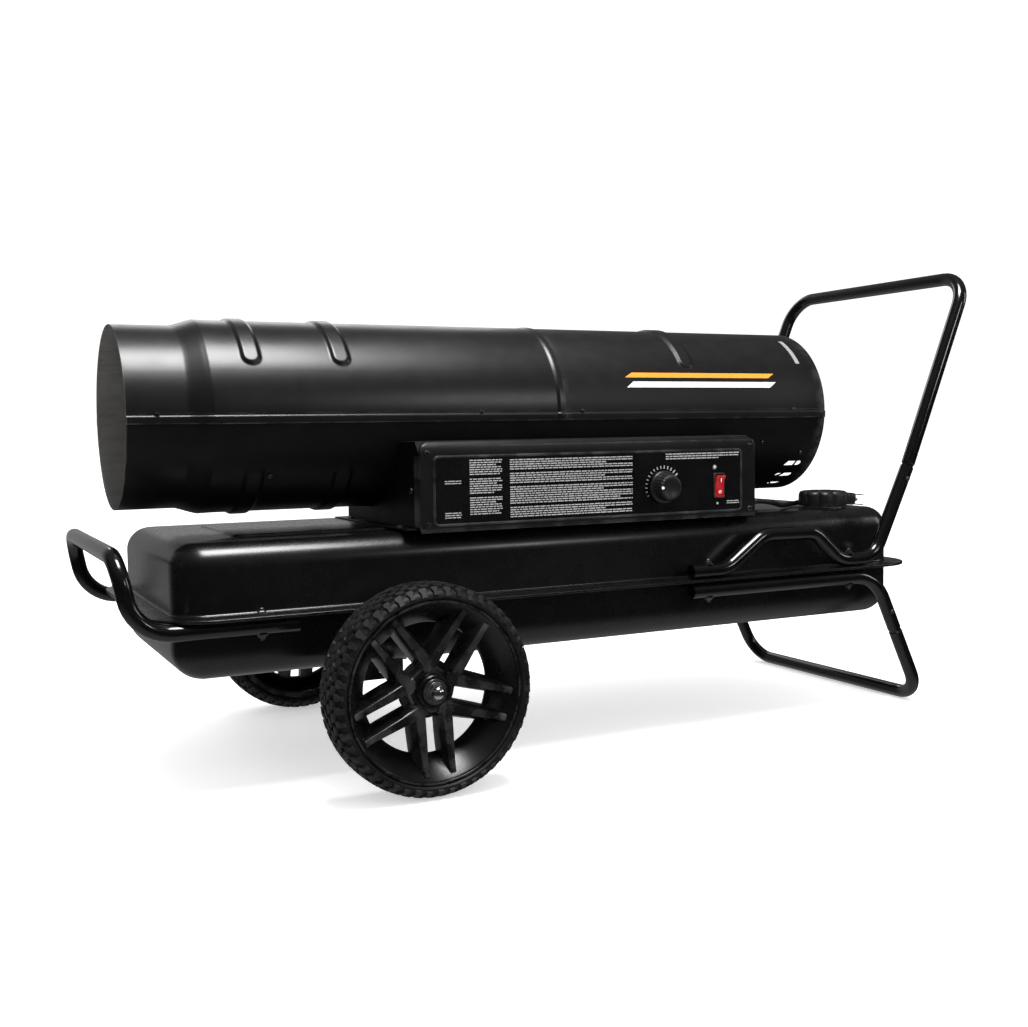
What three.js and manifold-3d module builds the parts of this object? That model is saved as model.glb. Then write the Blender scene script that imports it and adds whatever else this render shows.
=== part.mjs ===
// Forced-air kerosene heater: a barrel with a burner, fan and pump, on a wheeled and flanged fuel tank.
// Millimetres, +Z up. The origin is on the floor under the middle. +X runs from the hot-air outlet
// to the push handle, and the control panel faces -Y.
import * as THREE from "three";
import { mergeVertices } from "three/addons/utils/BufferGeometryUtils.js";
import Module from "manifold-3d";

const wasm = await Module();
wasm.setup();

// ---------------------------------------------------------------- driving dimensions

const GAP = 0.3;

const TANK = {
  front: -462, rear: 413, halfWidth: 142, cornerRadius: 32,
  top: 242.5, bottom: 112.5, seam: 174.5, topFillet: 24, bottomFillet: 30, wall: 1.5,
  flangeThickness: 1.5, flangeSide: 28, flangeFront: 24, flangeRear: 20,
  panelFront: -392, panelRear: 240, panelHalfWidth: 84, panelRise: 2.5,
};
const FLANGE_TOP = TANK.seam + TANK.flangeThickness;
const FLANGE_BOTTOM = TANK.seam - TANK.flangeThickness;
const PANEL_TOP = TANK.top + TANK.panelRise;

const CAP = { x: 340, y: -93, radius: 30.5, lift: 2.6, height: 18, lobes: 9, neckRadius: 20, neckWall: 2, neckTop: 256 };

const BARREL = {
  z: 361.8, front: -491.3, rear: 338, radius: 98.7, noseRadius: 92.4, noseEnd: -433.5, coneEnd: -411.3,
  wall: 1.5, joint: -30, sides: 40,
};
const RIBS = { rise: 2.4, width: 21, halfAngle: 60, front: [-369, -277], rear: [144] };
const AIR_SLOTS = [[308, 131], [306, 143.5], [308, 156]];
const AIR_SLOT = { length: 26, width: 8 };

const CHAMBER = { front: -425, rear: -20, radius: 78, wall: 1.5 };
const SPARK_PLUG_X = -40;
const MOTOR = { front: 95, rear: 205, radius: 46 };
const SHAFT = { front: 44, rear: 232, radius: 4 };
const FAN = { x: 58, hubRadius: 17, tipRadius: 84, blades: 5, pitch: 34, chord: 34, thickness: 1.6 };
const FUEL_LINE_X = 16;
const FUEL_LINE_Y = -45;
const PUMP = { front: 206, rear: 230, radius: 40, chamber: 24, rotor: 21 };
const GUARD = { x: 328, rings: [93, 48], bar: 3 };

const HOUSING = { front: -222, rear: 190, near: -148.5, far: 68, top: 334, wall: 1.5 };
const COVER = { bottom: 240, bend: 320, top: 334, face: -150, lean: 10, thickness: 1.2 };
const LABEL = { left: -206, right: 169, bottom: 251, top: 317, thickness: 0.5 };
const KNOB = { x: 64, z: 279, radius: 16, depth: 17, stemRadius: 3 };
const SWITCH = { x: 138.5, z: 278.5, width: 15, height: 28, rockerWidth: 12, rockerHeight: 24.4, tilt: 10 };
const LAMP = { x: 133, z: 299, radius: 2.2 };

const TUBE = { radius: 8, sides: 10, arcSteps: 4 };
const FRONT_HANDLE = { barX: -514.5, barZ: 236, y: 153, kneeX: -501, end: -350 };
const REAR_HANDLE = { y: 162, barX: 508.6, barZ: 525, humpZ: 219.5, jointX: 411.5, jointZ: 292 };
const LEG = { y: 162, z: 162.5, start: 94, kneeX: 361, footX: 435, jointZ: 96 };

const WHEEL = { x: -244.8, y: 214.2, radius: 101.6, halfWidth: 27, bead: 86.2, seat: 80, sides: 36, spokePhase: -0.68 };
const AXLE = { radius: 6, nutEnd: 245.6, hubHalf: 20, sides: 16 };

const CORD = {
  radius: 3, sides: 8,
  route: [
    [214.5, -120, 256], [222, -120, 255.7], [230, -119.2, 255], [238, -117.2, 253.9], [246, -113.8, 252.5],
    [254, -109, 251], [262, -103.3, 249.5], [270, -97, 248.2], [278, -90.5, 247.2], [286, -84, 246.5],
    [294, -77.8, 246.1], [302, -72, 246], [310, -66.9, 246], [318, -62.6, 246.1], [326, -59.2, 246.5],
    [334, -57.1, 247.3], [342, -56.2, 248.4], [350, -56, 249.7], [357, -56, 250.8], [364, -56, 251.6],
    [371, -56, 252.1], [378, -56, 252.2],
  ],
};
const PLUG = {
  x: 378.6, y: -56, z: 252.2, droop: 6, length: 43, halfHeight: 8,
  bladeLength: 17.5, bladeGap: 12.7, groundOffset: 11.9,
};

// ---------------------------------------------------------------- materials

const paint = (color, roughness, metalness = 0) => new THREE.MeshStandardMaterial({ color, roughness, metalness });
const satinBlack = () => paint(0x16171a, 0.38, 0.3);
const glossBlack = () => paint(0x0d0d0f, 0.16, 0.3);
const mattPlastic = () => paint(0x141414, 0.6);
const rubber = () => paint(0x18181a, 0.8);
const bareSteel = () => paint(0x9a9b9c, 0.35, 0.9);
const hotSteel = () => paint(0x6d6a66, 0.55, 0.8);
const castAluminium = () => paint(0xa4a6a8, 0.5, 0.7);
const copperTube = () => paint(0xa8633b, 0.4, 0.9);

// ---------------------------------------------------------------- solids and booleans

function toSolid(geometry) {
  const bare = geometry.clone();
  bare.deleteAttribute("normal");
  bare.deleteAttribute("uv");
  const merged = mergeVertices(bare, 1e-4);
  return new wasm.Manifold(new wasm.Mesh({
    numProp: 3,
    vertProperties: new Float32Array(merged.attributes.position.array),
    triVerts: new Uint32Array(merged.index.array),
  }));
}

function toGeometry(solid) {
  const mesh = solid.getMesh();
  const geometry = new THREE.BufferGeometry();
  geometry.setAttribute("position", new THREE.BufferAttribute(new Float32Array(mesh.vertProperties), 3));
  geometry.setIndex(new THREE.BufferAttribute(new Uint32Array(mesh.triVerts), 1));
  geometry.computeVertexNormals();
  return geometry;
}

function cut(geometry, ...tools) {
  return toGeometry(tools.reduce((solid, tool) => solid.subtract(toSolid(tool)), toSolid(geometry)));
}

function join(geometry, ...others) {
  return toGeometry(others.reduce((solid, other) => solid.add(toSolid(other)), toSolid(geometry)));
}

function common(geometry, tool) {
  return toGeometry(toSolid(geometry).intersect(toSolid(tool)));
}

// ---------------------------------------------------------------- basic shapes

function box(x0, x1, y0, y1, z0, z1) {
  const geometry = new THREE.BoxGeometry(x1 - x0, y1 - y0, z1 - z0);
  return geometry.translate((x0 + x1) / 2, (y0 + y1) / 2, (z0 + z1) / 2);
}

function latheX(profile, sides) {
  const points = profile.map(([x, r]) => new THREE.Vector2(r, x));
  return new THREE.LatheGeometry(points, sides).rotateZ(-Math.PI / 2);
}

function latheY(profile, sides) {
  return new THREE.LatheGeometry(profile.map(([y, r]) => new THREE.Vector2(r, y)), sides);
}

function latheZ(profile, sides) {
  const points = profile.map(([z, r]) => new THREE.Vector2(r, z));
  return new THREE.LatheGeometry(points, sides).rotateX(Math.PI / 2);
}

const rodProfile = (from, to, radius) => [[from, 0], [from, radius], [to, radius], [to, 0]];

function pipeProfile(from, to, outer, inner) {
  return [[from, inner], [from, outer], [to, outer], [to, inner], [from, inner]];
}

// Extrudes an outline drawn in (y, z) from x0 to x1.
function alongX(shape, x0, x1) {
  const bar = new THREE.ExtrudeGeometry(shape, { depth: x1 - x0, bevelEnabled: false, curveSegments: 6 });
  const turned = new THREE.Matrix4().makeBasis(
    new THREE.Vector3(0, 1, 0), new THREE.Vector3(0, 0, 1), new THREE.Vector3(1, 0, 0),
  );
  return bar.applyMatrix4(turned).translate(x0, 0, 0);
}

function named(name, geometry, material, position = [0, 0, 0]) {
  const mesh = new THREE.Mesh(geometry, material);
  mesh.name = name;
  mesh.position.set(...position);
  return mesh;
}

// ---------------------------------------------------------------- bent tubes

class StationCurve extends THREE.Curve {
  constructor(stations) {
    super();
    this.stations = stations;
  }

  getUtoTmapping(u) {
    return u;
  }

  getPoint(t, target = new THREE.Vector3()) {
    const place = Math.min(Math.max(t, 0), 1) * (this.stations.length - 1);
    const index = Math.min(Math.floor(place), this.stations.length - 2);
    return target.lerpVectors(this.stations[index], this.stations[index + 1], place - index);
  }
}

// Replaces each inner corner [x, y, z, bendRadius] of a polyline by an arc of that radius.
function bentStations(corners, arcSteps) {
  const points = corners.map(([x, y, z]) => new THREE.Vector3(x, y, z));
  const stations = [points[0]];
  for (let i = 1; i < points.length - 1; i += 1) {
    const into = points[i].clone().sub(points[i - 1]).normalize();
    const out = points[i + 1].clone().sub(points[i]).normalize();
    const turn = into.angleTo(out);
    const setback = corners[i][3] * Math.tan(turn / 2);
    const start = points[i].clone().addScaledVector(into, -setback);
    const inward = out.clone().sub(into).normalize();
    const centre = points[i].clone().addScaledVector(inward, corners[i][3] / Math.cos(turn / 2));
    const spin = into.clone().cross(out).normalize();
    const arm = start.clone().sub(centre);
    for (let k = 0; k <= arcSteps; k += 1) {
      stations.push(centre.clone().add(arm.clone().applyAxisAngle(spin, (turn * k) / arcSteps)));
    }
  }
  stations.push(points[points.length - 1]);
  return stations;
}

function sweep(stations, radius, sides) {
  const section = new THREE.Shape();
  for (let i = 0; i < sides; i += 1) {
    const angle = (2 * Math.PI * (i + 0.5)) / sides;
    const method = i === 0 ? "moveTo" : "lineTo";
    section[method](radius * Math.cos(angle), radius * Math.sin(angle));
  }
  section.closePath();
  const path = new StationCurve(stations);
  const settings = { steps: stations.length - 1, extrudePath: path, bevelEnabled: false };
  return new THREE.ExtrudeGeometry(section, settings);
}

function bentTube(corners, radius = TUBE.radius, sides = TUBE.sides) {
  return sweep(bentStations(corners, TUBE.arcSteps), radius, sides);
}

// ---------------------------------------------------------------- tank pans

function roundedRing(inset, z, arcSteps = 4) {
  const flange = inset < 0;
  const front = TANK.front - (flange ? TANK.flangeFront : -inset);
  const rear = TANK.rear + (flange ? TANK.flangeRear : -inset);
  const half = TANK.halfWidth - inset;
  const radius = Math.max(TANK.cornerRadius - inset, 6);
  const corners = [
    [rear - radius, half - radius, 0], [front + radius, half - radius, 90],
    [front + radius, radius - half, 180], [rear - radius, radius - half, 270],
  ];
  const ring = [];
  for (const [cx, cy, from] of corners) {
    for (let k = 0; k <= arcSteps; k += 1) {
      const angle = THREE.MathUtils.degToRad(from + (90 * k) / arcSteps);
      ring.push([cx + radius * Math.cos(angle), cy + radius * Math.sin(angle), z]);
    }
  }
  return ring;
}

// Skins a list of rings into one closed body, capped at both ends.
function loft(rings) {
  const count = rings[0].length;
  const index = [];
  for (let r = 0; r < rings.length - 1; r += 1) {
    for (let i = 0; i < count; i += 1) {
      const a = r * count + i;
      const b = r * count + ((i + 1) % count);
      index.push(a, a + count, b, b, a + count, b + count);
    }
  }
  const last = (rings.length - 1) * count;
  for (let i = 1; i < count - 1; i += 1) {
    index.push(0, i, i + 1);
    index.push(last, last + i + 1, last + i);
  }
  const geometry = new THREE.BufferGeometry();
  geometry.setAttribute("position", new THREE.Float32BufferAttribute(rings.flat(2), 3));
  geometry.setIndex(index);
  geometry.computeVertexNormals();
  return geometry;
}

// A pan's rings run from the middle of its closed face, over the flange and back inside.
// side is 1 for the upper pan and -1 for the lower pan.
function panGeometry(closedZ, fillet, side) {
  const steps = 4;
  const rings = [];
  for (let k = 0; k <= steps; k += 1) {
    const angle = (Math.PI / 2) * (k / steps);
    const inset = fillet * (1 - Math.sin(angle));
    rings.push(roundedRing(inset, closedZ - side * fillet * (1 - Math.cos(angle))));
  }
  const seamZ = TANK.seam + (side * GAP) / 2;
  rings.push(roundedRing(0, TANK.seam + side * TANK.flangeThickness));
  rings.push(roundedRing(-TANK.flangeSide, TANK.seam + side * TANK.flangeThickness));
  rings.push(roundedRing(-TANK.flangeSide, seamZ));
  rings.push(roundedRing(TANK.wall, seamZ));
  for (let k = steps; k >= 0; k -= 2) {
    const angle = (Math.PI / 2) * (k / steps);
    const inset = TANK.wall + (fillet - TANK.wall) * (1 - Math.sin(angle));
    const drop = TANK.wall + (fillet - TANK.wall) * (1 - Math.cos(angle));
    rings.push(roundedRing(inset, closedZ - side * drop));
  }
  return loft(side > 0 ? rings : rings.map((ring) => [...ring].reverse()));
}

function tankGroup() {
  const group = new THREE.Group();
  const { panelFront: x0, panelRear: x1, panelHalfWidth: half } = TANK;
  const panel = box(x0, x1, -half, half, TANK.top - 1, PANEL_TOP);
  const fillerHole = latheZ(rodProfile(200, 300, CAP.neckRadius + GAP), 24).translate(CAP.x, CAP.y, 0);
  const pipeHole = latheZ(rodProfile(200, 300, 4), 12).translate(FUEL_LINE_X, FUEL_LINE_Y, 0);
  const upper = join(panGeometry(TANK.top, TANK.topFillet, 1), panel);
  group.add(named("tank_upper_pan", cut(upper, fillerHole, pipeHole), satinBlack()));
  const drainHole = latheZ(rodProfile(100, 130, 8), 12).translate(370, 0, 0);
  const lower = panGeometry(TANK.bottom, TANK.bottomFillet, -1);
  group.add(named("tank_lower_pan", cut(lower, drainHole), satinBlack()));
  const drainPlug = join(
    latheZ(rodProfile(TANK.bottom - 7, TANK.bottom - GAP, 11), 6),
    latheZ(rodProfile(TANK.bottom - 1, TANK.bottom + 5, 7.4), 12),
  );
  group.add(named("drain_plug", drainPlug, bareSteel(), [370, 0, 0]));
  return group;
}

function fuelCapGroup() {
  const group = new THREE.Group();
  group.position.set(CAP.x, CAP.y, 0);
  const outer = CAP.neckRadius;
  const inner = outer - CAP.neckWall;
  const neck = latheZ([
    [TANK.top - 6, inner], [TANK.top - 6, outer], [TANK.top + GAP, outer], [TANK.top + GAP, outer + 5],
    [TANK.top + 2, outer + 5], [TANK.top + 2, outer], [CAP.neckTop, outer], [CAP.neckTop, inner],
    [TANK.top - 6, inner],
  ], 18);
  group.add(named("filler_neck", neck, bareSteel()));
  const gasketTop = CAP.neckTop + GAP + 1.7;
  const gasket = latheZ(pipeProfile(CAP.neckTop + GAP, gasketTop, outer + 2, inner - 3), 24);
  group.add(named("cap_gasket", gasket, rubber()));
  const retainer = latheZ(rodProfile(gasketTop + GAP, gasketTop + GAP + 1.2, outer + 2), 24);
  group.add(named("cap_retainer", retainer, bareSteel()));

  const grip = new THREE.Shape();
  const steps = CAP.lobes * 6;
  for (let i = 0; i < steps; i += 1) {
    const angle = (2 * Math.PI * i) / steps;
    const radius = CAP.radius - 1.6 + 1.6 * Math.cos(angle * CAP.lobes);
    const method = i === 0 ? "moveTo" : "lineTo";
    grip[method](radius * Math.cos(angle), radius * Math.sin(angle));
  }
  grip.closePath();
  const body = new THREE.ExtrudeGeometry(grip, { depth: CAP.height, bevelEnabled: false });
  body.translate(0, 0, TANK.top + CAP.lift);
  const hollow = latheZ(rodProfile(TANK.top, gasketTop + 2 * GAP + 1.2, outer + 3.5), 24);
  group.add(named("fuel_cap", cut(body, hollow), mattPlastic()));
  return group;
}

// ---------------------------------------------------------------- barrel

function shellTube() {
  const { front, noseEnd, coneEnd, rear, noseRadius: nose, radius, wall } = BARREL;
  return latheX([
    [front, nose - wall], [front, nose], [noseEnd, nose], [coneEnd, radius], [rear, radius],
    [rear, radius - wall], [coneEnd, radius - wall], [noseEnd, nose - wall], [front, nose - wall],
  ], BARREL.sides);
}

// A raised rib over the top (side 1) or under the bottom (side -1) of the barrel.
function rib(x, side) {
  const { rise, width, halfAngle } = RIBS;
  const inner = BARREL.radius - BARREL.wall / 2;
  const ring = latheX(pipeProfile(x - width / 2, x + width / 2, BARREL.radius + rise, inner), BARREL.sides);
  const floor = Math.cos(THREE.MathUtils.degToRad(halfAngle)) * BARREL.radius;
  const reach = 2 * BARREL.radius;
  const window = side > 0 ? box(-600, 600, -reach, reach, floor, reach) : box(-600, 600, -reach, reach, -reach, -floor);
  return common(ring, window);
}

function airSlot([x, angleDeg]) {
  const slot = box(x - AIR_SLOT.length / 2, x + AIR_SLOT.length / 2, -AIR_SLOT.width / 2, AIR_SLOT.width / 2, 80, 110);
  return slot.rotateX(THREE.MathUtils.degToRad(angleDeg));
}

function barrelShells(group) {
  const far = 600;
  const tube = join(shellTube(), ...RIBS.front.map((x) => rib(x, 1)), ...RIBS.rear.map((x) => rib(x, 1)));
  const frontHalf = box(-far, BARREL.joint - GAP / 2, -far, far, GAP / 2, far);
  const rearHalf = box(BARREL.joint + GAP / 2, far, -far, far, GAP / 2, far);
  group.add(named("upper_shell_front", common(tube, frontHalf), satinBlack()));
  group.add(named("upper_shell_rear", common(tube, rearHalf), satinBlack()));
  const lower = common(join(shellTube(), ...RIBS.front.map((x) => rib(x, -1))), box(-far, far, -far, far, -far, -GAP / 2));
  const slots = AIR_SLOTS.flatMap(([x, angle]) => [airSlot([x, angle]), airSlot([x, -angle])]);
  const pipeHole = latheZ(rodProfile(-120, -60, 5), 12).translate(FUEL_LINE_X, FUEL_LINE_Y, 0);
  group.add(named("lower_shell", cut(lower, ...slots, pipeHole), satinBlack()));
}

function combustionParts(group) {
  const { front, rear, radius, wall } = CHAMBER;
  const can = latheX([
    [front, radius], [rear, radius], [rear, 31], [rear - wall, 31], [rear - wall, radius - wall],
    [front, radius - wall], [front, radius],
  ], 24);
  const tabs = [];
  for (const x of [front + 15, rear - 40]) {
    for (const angle of [30, 150, 270]) {
      const tab = box(x, x + 12, -4, 4, radius - wall / 2, BARREL.radius - BARREL.wall - 0.8);
      tabs.push(tab.rotateX(THREE.MathUtils.degToRad(angle - 90)));
    }
  }
  const plugTilt = THREE.MathUtils.degToRad(-35);
  const plugHole = latheZ(rodProfile(60, 90, 4.6), 12).rotateX(plugTilt).translate(SPARK_PLUG_X, 0, 0);
  group.add(named("combustion_chamber", cut(join(can, ...tabs), plugHole), hotSteel()));

  const disc = latheX([[front + 30, 0], [front + 36, 30], [front + 44, 52], [front + 46, 52], [front + 38, 0]], 20);
  const arms = [0, 120, 240].map((angle) => {
    const arm = box(front + 40, front + 43, -5, 5, 44, radius - wall - 1.4);
    return arm.rotateX(THREE.MathUtils.degToRad(angle));
  });
  group.add(named("chamber_baffle", join(disc, ...arms), hotSteel()));

  const head = latheX([
    [rear - 14, 27], [rear + 22, 27], [rear + 22, 12], [rear + 20, 12], [rear + 20, 25], [rear - 14, 25],
    [rear - 14, 27],
  ], 20);
  const flange = latheX(pipeProfile(rear + GAP, rear + 2, 38, 26), 20);
  group.add(named("burner_head", join(head, flange), castAluminium()));
  const nozzle = latheX([
    [rear - 4, 0], [rear - 4, 4], [rear + 2, 9], [rear + 32, 9], [rear + 32, 5], [rear + 44, 5], [rear + 44, 0],
  ], 12);
  group.add(named("nozzle", nozzle, bareSteel()));
  const plug = latheZ([
    [45, 0], [45, 1.2], [66, 1.2], [66, 4], [radius + 0.5, 4], [radius + 0.5, 7], [radius + 5, 7],
    [radius + 8, 3.5], [radius + 16, 3.5], [radius + 16, 0],
  ], 10);
  plug.rotateX(plugTilt).translate(SPARK_PLUG_X, 0, 0);
  group.add(named("spark_plug", plug, paint(0xd8d4c8, 0.3)));
  const eye = latheX([[4, 0], [4, 6], [18, 6], [18, 9], [34, 9], [34, 0]], 12).translate(0, -30, -34);
  group.add(named("flame_sensor", eye, mattPlastic()));
}

function fanGeometry() {
  const hub = latheX(rodProfile(FAN.x - 12, FAN.x + 12, FAN.hubRadius), 20);
  const blades = [];
  for (let i = 0; i < FAN.blades; i += 1) {
    const blade = box(-FAN.chord / 2, FAN.chord / 2, -FAN.thickness / 2, FAN.thickness / 2, 12, FAN.tipRadius);
    blade.rotateZ(THREE.MathUtils.degToRad(FAN.pitch)).translate(FAN.x, 0, 0);
    blades.push(blade.rotateX((2 * Math.PI * i) / FAN.blades));
  }
  const bore = latheX(rodProfile(SHAFT.front - 20, SHAFT.rear, SHAFT.radius + GAP), 12);
  return cut(join(hub, ...blades), bore);
}

function driveParts(group) {
  group.add(named("fan", fanGeometry(), castAluminium()));
  group.add(named("motor_shaft", latheX(rodProfile(SHAFT.front, SHAFT.rear, SHAFT.radius), 12), bareSteel()));
  const motor = latheX([
    [MOTOR.front, 0], [MOTOR.front, 20], [MOTOR.front + 8, MOTOR.radius - 4], [MOTOR.front + 14, MOTOR.radius],
    [MOTOR.rear - 12, MOTOR.radius], [MOTOR.rear - 4, MOTOR.radius - 6], [MOTOR.rear, 24], [MOTOR.rear, 0],
  ], 24);
  const motorBore = latheX(rodProfile(MOTOR.front - 5, MOTOR.rear + 5, SHAFT.radius + 0.2), 24);
  group.add(named("motor", cut(motor, motorBore), paint(0x2b2c2e, 0.5, 0.5)));
  const block = box(MOTOR.front + 25, MOTOR.rear - 25, -32, 32, -110, -20);
  const inside = latheX(rodProfile(0, 300, BARREL.radius - BARREL.wall - 0.8), BARREL.sides);
  const around = latheX(rodProfile(0, 300, MOTOR.radius + GAP + 0.3), 24);
  const hollow = box(0, 300, -29, 29, -88, -49);
  group.add(named("motor_bracket", cut(common(block, inside), around, hollow), bareSteel()));

  const body = latheX(pipeProfile(PUMP.front, PUMP.rear, PUMP.radius, PUMP.chamber), 24);
  group.add(named("pump_body", body, castAluminium()));
  const rotor = latheX(rodProfile(PUMP.front + GAP, PUMP.rear - GAP, PUMP.rotor), 16);
  const rotorBore = latheX(rodProfile(PUMP.front - 5, PUMP.rear + 5, SHAFT.radius + GAP), 12);
  group.add(named("pump_rotor", cut(rotor, rotorBore), bareSteel()));
  const cover = latheX([
    [PUMP.rear + GAP, 8], [PUMP.rear + GAP, PUMP.radius], [PUMP.rear + 9, PUMP.radius], [PUMP.rear + 12, 34],
    [PUMP.rear + 12, 0], [PUMP.rear + 5, 0], [PUMP.rear + 5, 8], [PUMP.rear + GAP, 8],
  ], 24);
  const filterBox = box(PUMP.rear + 8, PUMP.rear + 28, -26, 26, -10, 24);
  group.add(named("pump_cover", join(cover, filterBox), castAluminium()));
  const screw = latheX([[0, 0], [0, 4], [10, 4], [10, 6], [14, 6], [14, 0]], 10);
  group.add(named("relief_screw", screw, paint(0xb08d4a, 0.35, 0.9), [PUMP.rear + 12 + GAP, 0, -22]));

  const tubeX = PUMP.rear + 20;
  const shellSide = -91;
  const nozzleEnd = CHAMBER.rear + 44;
  const airLine = bentTube([
    [tubeX, -26.4, 8], [tubeX, shellSide, 8, 14], [nozzleEnd + 12, shellSide, 8, 12], [nozzleEnd + 12, 0, 0, 8],
    [nozzleEnd + GAP, 0, 0],
  ], 3, 8);
  group.add(named("air_line", airLine, copperTube()));
}

function guardGeometry() {
  const { x, bar, rings } = GUARD;
  const hoops = rings.map((r) => latheX(pipeProfile(x, x + bar, r, r - bar), 18));
  const spokes = [0, 60, 120].map((angle) => {
    const spoke = box(x + bar - 0.6, x + 2 * bar, -bar / 2, bar / 2, -rings[0], rings[0]);
    return spoke.rotateX(THREE.MathUtils.degToRad(angle));
  });
  return join(hoops[0], ...hoops.slice(1), ...spokes);
}

function barrelGroup() {
  const group = new THREE.Group();
  group.position.z = BARREL.z;
  barrelShells(group);
  combustionParts(group);
  driveParts(group);
  group.add(named("fan_guard", guardGeometry(), glossBlack()));
  return group;
}

// ---------------------------------------------------------------- base housing and controls

function housingGeometry() {
  const { front, rear, near, far, top, wall } = HOUSING;
  const bottom = PANEL_TOP + GAP;
  const outer = box(front, rear, near, far, bottom, top);
  const inner = box(front + wall, rear - wall, near - 10, far - wall, bottom + wall, top - wall);
  const saddle = latheX(rodProfile(front - 50, rear + 50, BARREL.radius + 2 * GAP), BARREL.sides);
  const pipeHole = latheZ(rodProfile(200, 300, 5), 12).translate(FUEL_LINE_X, FUEL_LINE_Y, 0);
  const reliefHole = latheX(rodProfile(rear - 10, rear + 10, 5), 12).translate(0, -120, 256);
  const lean = new THREE.Shape();
  lean.moveTo(near - 20, COVER.bend - 1);
  lean.lineTo(near + GAP, COVER.bend - 1);
  lean.lineTo(COVER.face + COVER.lean + 2, top + 1);
  lean.lineTo(near - 20, top + 1);
  lean.closePath();
  return cut(outer, inner, saddle.translate(0, 0, BARREL.z), pipeHole, reliefHole, alongX(lean, front - 1, rear + 1));
}

function coverGeometry() {
  const { bottom, bend, top, face, lean, thickness } = COVER;
  const sheet = new THREE.Shape();
  sheet.moveTo(face - 2, bottom);
  sheet.lineTo(face, bottom + 12);
  sheet.lineTo(face, bend);
  sheet.lineTo(face + lean, top + GAP);
  sheet.lineTo(face + lean + 8, top + GAP);
  sheet.lineTo(face + lean + 8, top + GAP + thickness);
  sheet.lineTo(face + lean - 0.6, top + GAP + thickness);
  sheet.lineTo(face - thickness, bend + 0.4);
  sheet.lineTo(face - thickness, bottom + 12);
  sheet.lineTo(face - 2 - thickness, bottom);
  sheet.closePath();
  return alongX(sheet, HOUSING.front, HOUSING.rear);
}

function controlHoles() {
  const knobHole = latheY(rodProfile(-180, -120, KNOB.stemRadius + 2), 16).translate(KNOB.x, 0, KNOB.z);
  const lampHole = latheY(rodProfile(-180, -120, LAMP.radius + GAP), 12).translate(LAMP.x, 0, LAMP.z);
  const halfWidth = SWITCH.width / 2 - 1;
  const halfHeight = SWITCH.height / 2 - 1;
  const switchHole = box(
    SWITCH.x - halfWidth, SWITCH.x + halfWidth, -180, -120, SWITCH.z - halfHeight, SWITCH.z + halfHeight,
  );
  return [knobHole, lampHole, switchHole];
}

function rockerGeometry() {
  const half = SWITCH.rockerHeight / 2;
  const face = new THREE.Shape();
  face.moveTo(-3.4, half);
  face.quadraticCurveTo(0.8, 0, -3.4, -half);
  face.lineTo(4, -half + 1.2);
  face.lineTo(4, half - 1.2);
  face.closePath();
  return alongX(face, -SWITCH.rockerWidth / 2, SWITCH.rockerWidth / 2);
}

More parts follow.
